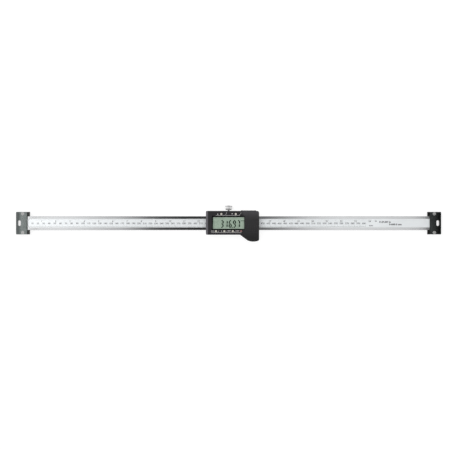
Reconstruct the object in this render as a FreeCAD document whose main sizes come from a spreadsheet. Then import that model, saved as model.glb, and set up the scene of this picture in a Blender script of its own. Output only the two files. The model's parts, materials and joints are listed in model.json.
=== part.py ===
import FreeCAD, Part
import Sketcher
import os
from types import SimpleNamespace

# A digital linear scale that lies on its back: X runs along the beam, Y points to the top of the display,
# Z points out of the display. Z = 0 is the plane that the end brackets are bolted to, and X = 0, Y = 0
# is the middle of the beam. All lengths are in millimetres.

DIMENSIONS = (
    # Beam and measuring strip
    ("overall_length", 756.0, "over the outer ends of the two brackets"),
    ("beam_width", 25.0, "beam, across"),
    ("beam_thick", 6.0, "beam, back to front"),
    ("beam_chamfer", 0.4, "bevel along the front edges of the beam"),
    ("strip_width", 15.2, "measuring strip, across"),
    ("stator_thick", 0.8, "grating strip"),
    ("label_thick", 0.25, "printed film on the grating strip"),
    ("label_sink", 0.05, "printed film below the beam's front"),
    ("strip_fit", 0.1, "beside the strip in its groove"),
    ("strip_end_gap", 1.0, "from the strip's ends to the beam's ends"),
    # End brackets
    ("bracket_width", 24.5, "bracket, along the beam"),
    ("bracket_shoulder", 7.5, "bracket beside the beam, each side"),
    ("bracket_corner", 1.2, "rounding of the bracket's outer corners"),
    ("cap_width", 20.4, "bracket cap, along the beam"),
    ("cap_thick", 3.5, "bracket cap"),
    ("cap_chamfer", 0.5, "bevel round the front of the cap"),
    ("channel_fit", 0.15, "between the beam and its channel in the bracket"),
    ("slot_width", 4.6, "mounting slot, across"),
    ("slot_length", 9.8, "mounting slot, end to end"),
    ("slot_inset", 6.1, "mounting slot from the bracket's outer end"),
    ("slot_wall", 1.6, "bracket wall between the slot and the beam's end"),
    # Screws of the brackets
    ("thread_fit", 0.05, "radial, screw in its thread"),
    ("clearance_fit", 0.2, "radial, screw in a plain hole"),
    ("drive_rim", 0.9, "rim round a screw's cross recess"),
    ("drive_width", 0.7, "arm of a screw's cross recess"),
    ("drive_depth", 0.7, "depth of a screw's cross recess"),
    ("cap_screw_inset", 12.2, "cap screws from the bracket's outer end"),
    ("cap_screw_edge", 3.3, "cap screws from the bracket's long edges"),
    ("cap_screw_thread", 3.0, "cap screw, thread"),
    ("cap_screw_head", 5.6, "cap screw, head"),
    ("cap_head_height", 2.0, "cap screw, height of head"),
    ("cap_screw_bite", 6.0, "cap screw, depth in the base"),
    ("beam_screw_thread", 4.0, "beam screw, thread"),
    ("beam_screw_head", 7.6, "beam screw, countersunk head"),
    ("beam_screw_pitch", 12.0, "between the two beam screws"),
    ("beam_screw_inset", 7.0, "beam screws from the beam's end"),
    ("screw_tip_wall", 1.2, "beam left above the beam screws"),
    # Carriage that slides on the beam
    ("slider_start", 337.7, "left end of the slider from the left bracket's outer end"),
    ("slide_fit", 0.1, "carriage to beam"),
    ("plate_lift", 1.6, "back plate above the mounting plane"),
    ("plate_thick", 2.4, "back plate"),
    ("gib_thick", 1.2, "gib strip"),
    ("gib_fit", 0.15, "gib strip to beam and to rail"),
    ("gib_end_gap", 1.5, "gib strip from the carriage's ends"),
    ("upper_rail_thick", 5.6, "upper rail of the carriage"),
    ("lower_rail_thick", 5.85, "lower rail of the carriage"),
    ("web_thick", 2.0, "front web of the carriage"),
    ("bridge_length", 9.0, "web at each end of the sensor window"),
    ("window_clear", 0.6, "sensor window beyond the strip, each side"),
    ("plate_screw_inset", 13.0, "back plate screws from the slider's ends"),
    ("plate_screw_thread", 2.5, "back plate screw, thread"),
    ("plate_screw_head", 4.6, "back plate screw, countersunk head"),
    ("plate_screw_bite", 5.0, "back plate screw, depth in the rail"),
    ("mount_pitch", 44.0, "mounting threads of the slider, along the beam"),
    ("mount_bore", 3.3, "mounting threads, core diameter"),
    ("mount_depth", 5.0, "mounting threads, depth in the rail"),
    ("gib_screw_inset", 19.0, "gib screws from the slider's ends"),
    ("gib_screw_thread", 3.0, "gib screw, thread"),
    ("gib_screw_length", 4.5, "gib screw, length"),
    ("gib_socket", 1.5, "gib screw, socket"),
    ("gib_socket_depth", 1.5, "gib screw, depth of socket"),
    # Lock screw and pad
    ("lock_inset", 40.3, "lock screw from the slider's left end"),
    ("lock_thread", 4.0, "lock screw, thread"),
    ("lock_neck", 3.4, "lock screw, neck"),
    ("lock_gap", 0.3, "lock pad above the gib when open"),
    ("lock_pad_length", 1.4, "lock pad, length"),
    ("lock_pad_fit", 0.1, "radial, lock pad in its bore"),
    ("lock_neck_start", 0.6, "thread ends below the rail's outer face by this"),
    ("knob_clear", 1.8, "knob above the housing's top"),
    ("collar_width", 10.8, "knob, lower collar"),
    ("collar_height", 1.9, "knob, height of lower collar"),
    ("knob_width", 12.8, "knob, knurled rim"),
    ("knob_height", 5.8, "knob, height of knurled rim"),
    ("knob_bevel", 0.5, "knob, bevels of the rim"),
    ("nub_width", 5.0, "knob, nub on top"),
    ("nub_height", 0.6, "knob, height of nub"),
    ("knurl_depth", 0.45, "knob, depth of a knurl groove"),
    ("knurl_width", 0.9, "knob, width of a knurl groove"),
    # Circuit boards and display
    ("board_thick", 1.2, "main board"),
    ("board_inset", 0.3, "main board inside the carriage's edges"),
    ("board_screw_left", 11.5, "left board screws from the slider's left end"),
    ("board_screw_right", 24.5, "right board screws from the slider's right end"),
    ("board_screw_thread", 2.0, "board screw, thread"),
    ("board_screw_head", 3.4, "board screw, head"),
    ("board_head_height", 1.1, "board screw, height of head"),
    ("board_screw_tip", 0.3, "board screw's tip above the back of the web"),
    ("sensor_gap", 0.2, "sensor board above the beam's front"),
    ("sensor_thick", 1.0, "sensor board"),
    ("sensor_fit", 0.3, "sensor board in its window"),
    ("header_length", 18.0, "board header, along the beam"),
    ("header_width", 2.5, "board header, across"),
    ("header_pitch", 44.0, "between the two board headers"),
    ("chip_width", 12.0, "controller chip under its black cap"),
    ("chip_height", 1.6, "controller chip, height"),
    ("chip_round", 1.1, "controller chip, rounding"),
    ("zebra_height", 3.2, "conductive strip, board to display"),
    ("zebra_width", 1.8, "conductive strip, across"),
    ("lcd_thick", 2.2, "display panel"),
    ("lcd_gap", 0.2, "display panel to the housing's front wall"),
    ("lcd_margin_side", 1.5, "display panel beyond the view, left and right"),
    ("lcd_margin_low", 0.7, "display panel beyond the view, below"),
    ("lcd_margin_top", 2.4, "display panel beyond the view, above"),
    ("lcd_fit", 0.15, "display panel in its holder"),
    ("holder_wall", 0.7, "display holder, wall"),
    ("holder_lip", 1.0, "display holder, lip under the panel"),
    ("holder_gap", 0.3, "display holder below the panel's front"),
    ("view_left", 12.2, "view from the slider's left end"),
    ("view_width", 56.0, "view, along the beam"),
    ("view_height", 21.3, "view, across"),
    ("view_rise", 0.25, "middle of the view above the beam's middle"),
    ("view_margin", 0.2, "housing opening beyond the view"),
    ("lens_side", 0.6, "lens beyond the view, left and right"),
    ("lens_edge", 1.3, "lens beyond the view, above and below"),
    ("lens_thick", 1.2, "lens"),
    ("lens_ledge", 0.5, "ledge that the lens lies on"),
    ("lens_sink", 0.5, "lens below the housing's front"),
    ("lens_fit", 0.1, "lens in its recess"),
    # Housing
    ("housing_wall", 1.8, "side walls of the housing"),
    ("skirt_fit", 0.4, "housing walls to the carriage"),
    ("beam_clear", 0.4, "housing's rim above the beam's front"),
    ("grip_gap", 0.3, "raised grip from the lens recess"),
    ("grip_length", 25.3, "raised grip to the slider's right end"),
    ("grip_rise", 0.8, "raised grip above the front"),
    ("grip_top_lead", 7.0, "raised grip reaches left by this at the top edge"),
    ("corner_left", 2.0, "rounding of the left corners"),
    ("corner_right", 3.6, "rounding of the top right corner"),
    ("bevel_run", 3.6, "bevel at the left end, along the beam"),
    ("bevel_drop", 1.6, "bevel at the left end, depth"),
    ("rim_round", 0.6, "rounding of the grip's front rim"),
    ("foot_lead", 8.6, "foot starts left of the grip by this"),
    ("foot_run", 13.3, "sloping side of the foot, along the beam"),
    ("foot_drop", 10.05, "sloping side of the foot, downwards"),
    ("foot_sag", 2.1, "bulge of the foot's rounded end"),
    ("foot_fall", 1.6, "front of the foot leans back by this"),
    ("foot_corner", 3.0, "rounding of the foot's right corner"),
    ("boss_inset", 5.0, "housing screws from the slider's ends"),
    ("boss_width", 4.4, "screw bosses of the housing"),
    ("boss_clear", 0.4, "main board round the bosses"),
    ("boss_screw_thread", 2.0, "housing screw, thread"),
    ("boss_screw_head", 3.6, "housing screw, head"),
    ("boss_head_height", 1.4, "housing screw, height of head"),
    ("boss_head_sink", 0.2, "housing screw's head below the carriage's back"),
    ("boss_screw_bite", 4.5, "housing screw, depth in the boss"),
    ("boss_tip_gap", 0.8, "boss bore beyond the screw's tip"),
    # Printed film and buttons
    ("film_thick", 0.3, "printed front film"),
    ("film_recess", 0.25, "recess that the film lies in"),
    ("film_fit", 0.15, "round the film's edges"),
    ("film_edge", 1.3, "film from the housing's edges"),
    ("film_grip_gap", 0.5, "film from the raised grip"),
    ("button_width", 3.5, "button, diameter"),
    ("button_fit", 0.15, "radial, button in its hole"),
    ("button_proud", 0.5, "button above the film"),
    ("button_round", 0.35, "rounding of the button's top"),
    ("upper_button_gap", 2.3, "upper buttons from the lens"),
    ("upper_button_inset", 15.2, "upper buttons inside the view's ends"),
    ("lower_button_gap", 0.8, "lower buttons from the lens"),
    ("lower_button_inset", 5.75, "outer lower buttons inside the view's ends"),
    ("flange_lip", 0.9, "button flange beyond the button, left and right"),
    ("flange_thick", 0.8, "button flange"),
    ("flange_gap", 0.1, "button flange to the housing's front wall"),
    ("stem_width", 2.4, "button stem"),
    ("press_gap", 0.45, "button stem above its dome switch"),
    ("dome_width", 4.0, "dome switch"),
    ("dome_height", 0.35, "dome switch, height"),
    # Battery
    ("battery_width", 16.0, "coin cell, diameter"),
    ("battery_thick", 3.2, "coin cell"),
    ("battery_fit", 0.2, "radial, coin cell in its tray"),
    ("battery_drop", 1.05, "coin cell below the beam's middle"),
    ("tray_wall", 1.0, "battery tray, wall"),
    ("tray_floor", 1.0, "battery tray, floor"),
    ("tray_rim", 2.4, "battery tray, rim above the floor"),
    ("tray_opening", 10.0, "battery tray, hole for the contact"),
    ("hatch_clear", 0.6, "hole in the housing beyond the tray's bore, radial"),
    ("contact_thick", 0.25, "battery contacts"),
    ("contact_width", 5.0, "battery contacts, width"),
    ("contact_gap", 0.05, "contact to coin cell"),
    ("contact_reach", 4.5, "positive contact over the coin cell"),
    ("contact_foot", 2.5, "positive contact on the board"),
    ("contact_stand", 0.3, "positive contact from the tray"),
    ("cover_height", 31.1, "battery cover, across"),
    ("cover_inset", 1.4, "battery cover from the grip's left edge"),
    ("cover_thick", 1.6, "battery cover"),
    ("cover_fit", 0.1, "battery cover in its opening"),
    ("tongue", 0.7, "tongues along the cover, width and height"),
    ("rib_pitch", 3.7, "between the grip ribs of the cover"),
    ("rib_width", 1.3, "grip rib, width"),
    ("rib_proud", 0.35, "grip rib above the cover"),
    ("rib_length", 12.5, "grip rib, length"),
    ("rib_edge", 2.4, "grip ribs from the cover's lower edge"),
    # Data port
    ("port_cover_lead", 7.0, "port cover starts left of the grip by this"),
    ("port_cover_length", 26.9, "port cover, along the beam"),
    ("port_cover_width", 6.0, "port cover, back to front"),
    ("port_cover_proud", 0.9, "port cover above the housing's top"),
    ("port_rise", 1.6, "middle of the port above the board's front"),
    ("port_floor", 0.6, "wall left under the port cover"),
    ("port_flange", 0.5, "flange of the port cover, width and height"),
    ("port_fit", 0.08, "port cover in its channel"),
    ("port_travel", 13.0, "travel of the port cover"),
    ("port_inset", 13.2, "middle of the port from the slider's right end"),
    ("port_width", 9.0, "port opening, along the beam"),
    ("port_height", 3.0, "port opening, back to front"),
    ("ridge_pitch", 2.2, "between the ridges of the port cover"),
    ("ridge_width", 0.9, "ridge groove, width"),
    ("ridge_depth", 0.35, "ridge groove, depth"),
    ("pin_pitch", 1.6, "data contacts, pitch"),
    ("pin_width", 0.9, "data contacts, width"),
    ("pin_length", 3.6, "data contacts, length"),
)

# How near two points count as one when an edge is picked by its place
NEAR = 0.001

KNURL_COUNT = 36
RIB_COUNT = 5
RIDGE_COUNT = 9
PIN_COUNT = 5

doc = FreeCAD.newDocument("digital_linear_scale")
sheet = doc.addObject("Spreadsheet::Sheet", "dims")
for row, (alias, millimetres, meaning) in enumerate(DIMENSIONS, start=1):
    sheet.set(f"A{row}", meaning)
    sheet.set(f"B{row}", str(millimetres))
    sheet.setAlias(f"B{row}", alias)
doc.recompute()


class Size:
    """A length as a formula over the sheet's cells, together with its present value."""

    def __init__(self, formula, value):
        self.formula = formula
        self.value = value

    def __add__(self, other):
        return join(self, "+", other, self.value + number(other))

    def __radd__(self, other):
        return join(other, "+", self, number(other) + self.value)

    def __sub__(self, other):
        return join(self, "-", other, self.value - number(other))

    def __rsub__(self, other):
        return join(other, "-", self, number(other) - self.value)

    def __mul__(self, other):
        return join(self, "*", other, self.value * number(other))

    def __rmul__(self, other):
        return join(other, "*", self, number(other) * self.value)

    def __truediv__(self, other):
        return join(self, "/", other, self.value / number(other))

    def __neg__(self):
        return join(0, "-", self, -self.value)


def number(length):
    return length.value if isinstance(length, Size) else float(length)


def formula(length):
    return length.formula if isinstance(length, Size) else repr(float(length))


def join(first, sign, second, value):
    return Size(f"({formula(first)} {sign} {formula(second)})", value)


def larger(first, second):
    return Size(f"max({formula(first)}; {formula(second)})", max(number(first), number(second)))


dim = SimpleNamespace()
for alias, millimetres, meaning in DIMENSIONS:
    setattr(dim, alias, Size(f"dims.{alias}", float(sheet.get(alias))))

# Heights of the layers, from the mounting plane to the front
beam_back = dim.plate_lift + dim.plate_thick + dim.slide_fit
beam_front = beam_back + dim.beam_thick
beam_middle = beam_back + dim.beam_thick / 2
rail_back = dim.plate_lift + dim.plate_thick
web_back = beam_front + dim.slide_fit
web_front = web_back + dim.web_thick
board_front = web_front + dim.board_thick
lcd_back = board_front + dim.zebra_height
lcd_front = lcd_back + dim.lcd_thick
inner_face = lcd_front + dim.lcd_gap
lens_back = inner_face + dim.lens_ledge
lens_front = lens_back + dim.lens_thick
face = lens_front + dim.lens_sink
grip_face = face + dim.grip_rise
skirt = beam_front + dim.beam_clear
film_back = face - dim.film_recess
film_front = film_back + dim.film_thick
cover_back = grip_face - dim.cover_thick
cell_back = board_front + dim.tray_floor
cell_front = cell_back + dim.battery_thick
port_middle = board_front + dim.port_rise

# Places along the beam
outer_end = dim.overall_length / 2
beam_end_inset = dim.slot_inset + dim.slot_width / 2 + dim.slot_wall
beam_length = dim.overall_length - 2 * beam_end_inset
slider_left = dim.slider_start - outer_end
view_start = slider_left + dim.view_left
view_end = view_start + dim.view_width
view_centre = view_start + dim.view_width / 2
grip_start = view_end + dim.lens_side + dim.lens_fit + dim.grip_gap
slider_right = grip_start + dim.grip_length
slider_centre = (slider_left + slider_right) / 2
slider_length = slider_right - slider_left
carriage_inset = dim.housing_wall + dim.skirt_fit
carriage_length = slider_length - 2 * carriage_inset
holder_right = view_end + dim.lcd_margin_side + dim.lcd_fit + dim.holder_wall
cell_x = (holder_right + slider_right - dim.housing_wall) / 2
cover_left = grip_start + dim.cover_inset
port_cover_left = grip_start - dim.port_cover_lead
port_x = slider_right - dim.port_inset
lock_x = slider_left + dim.lock_inset

# Places across the beam
view_low = dim.view_rise - dim.view_height / 2
view_top = dim.view_rise + dim.view_height / 2
lens_low = view_low - dim.lens_edge
lens_top = view_top + dim.lens_edge
upper_row = lens_top + dim.upper_button_gap + dim.button_width / 2
lower_row = lens_low - dim.lower_button_gap - dim.button_width / 2
gib_back = dim.beam_width / 2 + dim.gib_fit + dim.gib_thick
upper_rail = gib_back + dim.gib_fit
lower_rail = -dim.beam_width / 2 - dim.slide_fit
row_reach = dim.button_width / 2 + dim.button_fit
carriage_top = larger(upper_rail + dim.upper_rail_thick, upper_row + row_reach)
carriage_low = -larger(dim.lower_rail_thick - lower_rail, row_reach - lower_row)
upper_rail_middle = (upper_rail + carriage_top) / 2
lower_rail_middle = (lower_rail + carriage_low) / 2
housing_top = carriage_top + dim.skirt_fit + dim.housing_wall
housing_low = carriage_low - dim.skirt_fit - dim.housing_wall
foot_low = housing_low - dim.foot_drop
cell_y = -dim.battery_drop
bracket_height = dim.beam_width + 2 * dim.bracket_shoulder

nodes = []


def bind(obj, name, length):
    obj.setExpression(name, formula(length))


def new_body(label):
    body = doc.addObject("PartDesign::Body", label)
    body.Label = label
    body.AllowCompound = True
    nodes.append(body)
    return body


def new_sketch(body, name, plane, offset):
    """A sketch on one of the body's origin planes, moved along that plane's normal."""
    sketch = body.newObject("Sketcher::SketchObject", name)
    support = next(f for f in body.Origin.OriginFeatures if f.Role == plane)
    sketch.AttachmentSupport = [(support, "")]
    sketch.MapMode = "FlatFace"
    bind(sketch, "AttachmentOffset.Base.z", offset)
    return sketch


def flat_sketch(body, name, z):
    return new_sketch(body, name, "XY_Plane", z)


def upright_sketch(body, name, y):
    return new_sketch(body, name, "XZ_Plane", -y)


def side_sketch(body, name, x):
    return new_sketch(body, name, "YZ_Plane", x)


def hold(sketch, kind, geometry, end, length):
    """One bound distance of a point from the sketch's origin."""
    index = sketch.addConstraint(Sketcher.Constraint(kind, -1, 1, geometry, end, number(length)))
    bind(sketch, f"Constraints[{index}]", length)


def hold_point(sketch, geometry, end, x, y):
    hold(sketch, "DistanceX", geometry, end, x)
    hold(sketch, "DistanceY", geometry, end, y)


def hold_radius(sketch, geometry, radius):
    index = sketch.addConstraint(Sketcher.Constraint("Radius", geometry, number(radius)))
    bind(sketch, f"Constraints[{index}]", radius)


def point(x, y):
    return FreeCAD.Vector(number(x), number(y), 0)


def draw_outline(sketch, corners, bulges=None):
    """A closed outline through the corners, counter-clockwise; bulges maps a side to its arc's rise."""
    bulges = bulges or {}
    first = sketch.GeometryCount
    count = len(corners)
    for side, start in enumerate(corners):
        end = corners[(side + 1) % count]
        if side in bulges:
            run = point(*end) - point(*start)
            outwards = FreeCAD.Vector(run.y, -run.x, 0).normalize() * number(bulges[side])
            middle = (point(*start) + point(*end)) / 2 + outwards
            sketch.addGeometry(Part.Arc(point(*start), middle, point(*end)), False)
        else:
            sketch.addGeometry(Part.LineSegment(point(*start), point(*end)), False)
    for side, corner in enumerate(corners):
        after = first + (side + 1) % count
        sketch.addConstraint(Sketcher.Constraint("Coincident", first + side, 2, after, 1))
        hold_point(sketch, first + side, 1, *corner)
    for side, rise in bulges.items():
        chord = corners[(side + 1) % count][0] - corners[side][0]
        hold_radius(sketch, first + side, (chord * chord / 4 + rise * rise) / (2 * rise))


def draw_rectangle(sketch, x, y, along_x, along_y):
    """A rectangle about the middle x, y."""
    first = sketch.GeometryCount
    left, right = x - along_x / 2, x + along_x / 2
    low, top = y - along_y / 2, y + along_y / 2
    corners = [(left, low), (right, low), (right, top), (left, top)]
    for side, start in enumerate(corners):
        end = corners[(side + 1) % 4]
        sketch.addGeometry(Part.LineSegment(point(*start), point(*end)), False)
    for side, kind in enumerate(("Horizontal", "Vertical", "Horizontal", "Vertical")):
        after = first + (side + 1) % 4
        sketch.addConstraint(Sketcher.Constraint("Coincident", first + side, 2, after, 1))
        sketch.addConstraint(Sketcher.Constraint(kind, first + side))
    hold_point(sketch, first, 1, left, low)
    hold_point(sketch, first + 2, 1, right, top)


def draw_circles(sketch, centres, radius):
    first = sketch.GeometryCount
    normal = FreeCAD.Vector(0, 0, 1)
    for index, centre in enumerate(centres):
        sketch.addGeometry(Part.Circle(point(*centre), normal, number(radius)), False)
        hold_point(sketch, first + index, 3, *centre)
        if index == 0:
            hold_radius(sketch, first, radius)
        else:
            sketch.addConstraint(Sketcher.Constraint("Equal", first, first + index))


def draw_slot(sketch, x, y, width, length):
    """A slot along the sketch's second axis about the middle x, y."""
    first = sketch.GeometryCount
    radius = width / 2
    reach = (length - width) / 2
    right, left = x + radius, x - radius
    low, top = y - reach, y + reach
    sketch.addGeometry(Part.LineSegment(point(right, low), point(right, top)), False)
    sketch.addGeometry(Part.Arc(point(right, top), point(x, top + radius), point(left, top)), False)
    sketch.addGeometry(Part.LineSegment(point(left, top), point(left, low)), False)
    sketch.addGeometry(Part.Arc(point(left, low), point(x, low - radius), point(right, low)), False)
    for side in range(4):
        after = first + (side + 1) % 4
        sketch.addConstraint(Sketcher.Constraint("Tangent", first + side, 2, after, 1))
    hold_point(sketch, first + 1, 3, x, top)
    hold_point(sketch, first + 3, 3, x, low)
    hold_radius(sketch, first + 1, radius)


def extrude(body, kind, sketch, length):
    """Pads or pockets a sketch towards the positive end of the axis that its plane faces."""
    volume = body.Shape.Volume if body.Tip else 0.0
    upright = sketch.AttachmentSupport[0][0].Role == "XZ_Plane"
    feature = body.newObject(f"PartDesign::{kind}", f"{sketch.Name}_{kind.lower()}")
    feature.Profile = sketch
    feature.Reversed = (kind == "Pocket") != upright
    bind(feature, "Length", length)
    doc.recompute()
    change = body.Shape.Volume - volume
    if (change > 0) != (kind == "Pad") or change == 0:
        raise RuntimeError(f"{body.Label}: {feature.Name} changed the volume by {change:.4f}")
    return feature


def add_block(body, name, x, y, z, along_x, along_y, along_z):
    sketch = flat_sketch(body, name, z)
    draw_rectangle(sketch, x, y, along_x, along_y)
    extrude(body, "Pad", sketch, along_z)


def cut_block(body, name, x, y, z, along_x, along_y, along_z):
    sketch = flat_sketch(body, name, z)
    draw_rectangle(sketch, x, y, along_x, along_y)
    extrude(body, "Pocket", sketch, along_z)


def add_posts(body, name, centres, z, diameter, height):
    sketch = flat_sketch(body, name, z)
    draw_circles(sketch, centres, diameter / 2)
    extrude(body, "Pad", sketch, height)


def cut_bores(body, name, centres, z, diameter, height):
    sketch = flat_sketch(body, name, z)
    draw_circles(sketch, centres, diameter / 2)
    extrude(body, "Pocket", sketch, height)


def cut_cross_bores(body, name, centres, y, diameter, length):
    """Bores along Y from the height y upwards; the centres are x and z."""
    sketch = upright_sketch(body, name, y)
    draw_circles(sketch, centres, diameter / 2)
    extrude(body, "Pocket", sketch, length)


def cut_outline(body, name, z, corners, height):
    sketch = flat_sketch(body, name, z)
    draw_outline(sketch, corners)
    extrude(body, "Pocket", sketch, height)


def cone_at(body, kind, name, x, y, z, low_radius, high_radius, height):
    cone = body.newObject(f"PartDesign::{kind}", name)
    bind(cone, "Radius1", low_radius)
    bind(cone, "Radius2", high_radius)
    bind(cone, "Height", height)
    bind(cone, "Placement.Base.x", x)
    bind(cone, "Placement.Base.y", y)
    bind(cone, "Placement.Base.z", z)
    doc.recompute()


def edges_where(body, test):
    return [f"Edge{index}" for index, edge in enumerate(body.Shape.Edges, start=1) if test(edge)]


def is_upright_at(corners):
    """Test for an edge along Z that stands on one of the corners."""

    def test(edge):
        ends = [vertex.Point for vertex in edge.Vertexes]
        if len(ends) != 2 or abs(ends[0].z - ends[1].z) < NEAR:
            return False
        return any(all(end.sub(FreeCAD.Vector(number(x), number(y), end.z)).Length < NEAR for end in ends)
                   for x, y in corners)

    return test


def is_level_at(z):
    """Test for an edge that lies flat at one height."""

    def test(edge):
        box = edge.BoundBox
        return abs(box.ZMin - number(z)) < NEAR and abs(box.ZMax - number(z)) < NEAR

    return test


def dress(body, kind, name, edges, size_name, length):
    """A fillet or chamfer on named edges of the body as it stands."""
    if not edges:
        raise RuntimeError(f"{body.Label}: no edge for {name}")
    feature = body.newObject(f"PartDesign::{kind}", name)
    feature.Base = (body.Tip if body.Tip != feature else feature.BaseFeature, edges)
    bind(feature, size_name, length)
    doc.recompute()


def fillet(body, name, edges, radius):
    dress(body, "Fillet", name, edges, "Radius", radius)


def chamfer(body, name, edges, length):
    dress(body, "Chamfer", name, edges, "Size", length)


def block_node(label, x, y, z, along_x, along_y, along_z):
    """A plain rectangular piece about the middle x, y, standing on z."""
    box = doc.addObject("Part::Box", label)
    box.Label = label
    bind(box, "Length", along_x)
    bind(box, "Width", along_y)
    bind(box, "Height", along_z)
    bind(box, "Placement.Base.x", x - along_x / 2)
    bind(box, "Placement.Base.y", y - along_y / 2)
    bind(box, "Placement.Base.z", z)
    nodes.append(box)
    return box


def cross_recess(body, centres, z, head):
    """The recess of a cross-head driver, from z upwards, in each of the heads."""
    span = head - 2 * dim.drive_rim
    for name, along_x, along_y in (("recess_along", span, dim.drive_width),
                                   ("recess_across", dim.drive_width, span)):
        sketch = flat_sketch(body, name, z)
        for x, y in centres:
            draw_rectangle(sketch, x, y, along_x, along_y)
        extrude(body, "Pocket", sketch, dim.drive_depth)


def pan_screws(label, centres, seat, heads_up, thread, head, head_height, length):
    """Screws whose heads lie on the plane z = seat, above it or below it."""
    body = new_body(label)
    core = thread - 2 * dim.thread_fit
    if heads_up:
        add_posts(body, "heads", centres, seat, head, head_height)
        add_posts(body, "shanks", centres, seat - length, core, length)
        cross_recess(body, centres, seat + head_height - dim.drive_depth, head)
    else:
        add_posts(body, "heads", centres, seat - head_height, head, head_height)
        add_posts(body, "shanks", centres, seat, core, length)
        cross_recess(body, centres, seat - head_height, head)
    return body


def countersink_height(thread, head):
    return (head - thread) / 2


def countersunk_screws(label, centres, back, thread, head, length):
    """Screws from the back whose countersunk heads are flush with the plane z = back."""
    body = new_body(label)
    core = thread - 2 * dim.thread_fit
    add_posts(body, "shanks", centres, back, core, length)
    sink = countersink_height(thread, head)
    for index, (x, y) in enumerate(centres, start=1):
        cone_at(body, "AdditiveCone", f"head{index}", x, y, back, head / 2, core / 2, sink)
    cross_recess(body, centres, back, head)
    return body


def countersink(body, centres, back, thread, head):
    """Plain holes with a countersink in the plane z = back; the hole itself is cut first."""
    sink = countersink_height(thread, head)
    fit = dim.clearance_fit
    for index, (x, y) in enumerate(centres, start=1):
        cone_at(body, "SubtractiveCone", f"countersink{index}", x, y, back,
                head / 2 + fit, thread / 2 + fit, sink)


# Beam and measuring strip

def beam_screw_centres(side):
    x = side * (beam_length / 2 - dim.beam_screw_inset)
    return [(x, -dim.beam_screw_pitch / 2), (x, dim.beam_screw_pitch / 2)]


groove_depth = dim.stator_thick + dim.label_thick + dim.label_sink
beam_screw_bite = dim.beam_thick - groove_depth - dim.screw_tip_wall


def make_beam():
    body = new_body("beam")
    add_block(body, "bar", 0, 0, beam_back, beam_length, dim.beam_width, dim.beam_thick)
    on_front = is_level_at(beam_front)
    front_edges = edges_where(body, lambda edge: on_front(edge) and edge.BoundBox.YLength < NEAR)
    chamfer(body, "front_bevel", front_edges, dim.beam_chamfer)
    cut_block(body, "strip_groove", 0, 0, beam_front - groove_depth, beam_length,
              dim.strip_width + 2 * dim.strip_fit, groove_depth)
    centres = beam_screw_centres(-1) + beam_screw_centres(1)
    cut_bores(body, "screw_threads", centres, beam_back, dim.beam_screw_thread, beam_screw_bite)


def make_measuring_strip():
    length = beam_length - 2 * dim.strip_end_gap
    stator_back = beam_front - groove_depth
    label_back = stator_back + dim.stator_thick
    block_node("stator_strip", 0, 0, stator_back, length, dim.strip_width, dim.stator_thick)
    block_node("scale_label", 0, 0, label_back, length, dim.strip_width, dim.label_thick)


# End brackets

def make_bracket(name, side):
    """Base, cap and screws of one bracket; side is -1 at the left end and 1 at the right end."""
    middle = side * (outer_end - dim.bracket_width / 2)
    slot_x = side * (outer_end - dim.slot_inset)
    screw_x = side * (outer_end - dim.cap_screw_inset)
    screw_y = bracket_height / 2 - dim.cap_screw_edge
    cap_screw_centres = [(screw_x, -screw_y), (screw_x, screw_y)]
    outer_corners = [(side * outer_end, -bracket_height / 2), (side * outer_end, bracket_height / 2)]

    base = new_body(f"{name}_bracket_base")
    add_block(base, "base_block", middle, 0, 0, dim.bracket_width, bracket_height, beam_front)
    fillet(base, "outer_corners", edges_where(base, is_upright_at(outer_corners)), dim.bracket_corner)
    channel_length = dim.bracket_width - beam_end_inset + dim.channel_fit
    channel_x = side * (outer_end - dim.bracket_width + channel_length / 2)
    cut_block(base, "beam_channel", channel_x, 0, beam_back, channel_length,
              dim.beam_width + 2 * dim.channel_fit, dim.beam_thick)
    slot = flat_sketch(base, "mounting_slot", 0)
    draw_slot(slot, slot_x, 0, dim.slot_width, dim.slot_length)
    extrude(base, "Pocket", slot, beam_front)
    cut_bores(base, "cap_threads", cap_screw_centres, beam_front - dim.cap_screw_bite - dim.drive_depth,
              dim.cap_screw_thread, dim.cap_screw_bite + dim.drive_depth)
    beam_hole = dim.beam_screw_thread + 2 * dim.clearance_fit
    cut_bores(base, "beam_screw_holes", beam_screw_centres(side), 0, beam_hole, beam_back)
    countersink(base, beam_screw_centres(side), 0, dim.beam_screw_thread, dim.beam_screw_head)

    cap = new_body(f"{name}_bracket_cap")
    cap_x = side * (outer_end - dim.cap_width / 2)
    cap_front = beam_front + dim.cap_thick
    add_block(cap, "cap_plate", cap_x, 0, beam_front, dim.cap_width, bracket_height, dim.cap_thick)
    fillet(cap, "outer_corners", edges_where(cap, is_upright_at(outer_corners)), dim.bracket_corner)
    chamfer(cap, "front_bevel", edges_where(cap, is_level_at(cap_front)), dim.cap_chamfer)
    slot = flat_sketch(cap, "mounting_slot", beam_front)
    draw_slot(slot, slot_x, 0, dim.slot_width, dim.slot_length)
    extrude(cap, "Pocket", slot, dim.cap_thick)
    cut_bores(cap, "screw_holes", cap_screw_centres, beam_front,
              dim.cap_screw_thread + 2 * dim.clearance_fit, dim.cap_thick)

    pan_screws(f"{name}_cap_screws", cap_screw_centres, cap_front, True, dim.cap_screw_thread,
               dim.cap_screw_head, dim.cap_head_height, dim.cap_thick + dim.cap_screw_bite)
    countersunk_screws(f"{name}_beam_screws", beam_screw_centres(side), 0, dim.beam_screw_thread,
                       dim.beam_screw_head, beam_back + beam_screw_bite)


# Carriage that slides on the beam

def rail_centres(from_left, from_right):
    """Points on the middles of both rails, at a distance from each end of the slider."""
    return [(x, y) for x in (slider_left + from_left, slider_right - from_right)
            for y in (lower_rail_middle, upper_rail_middle)]


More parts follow.
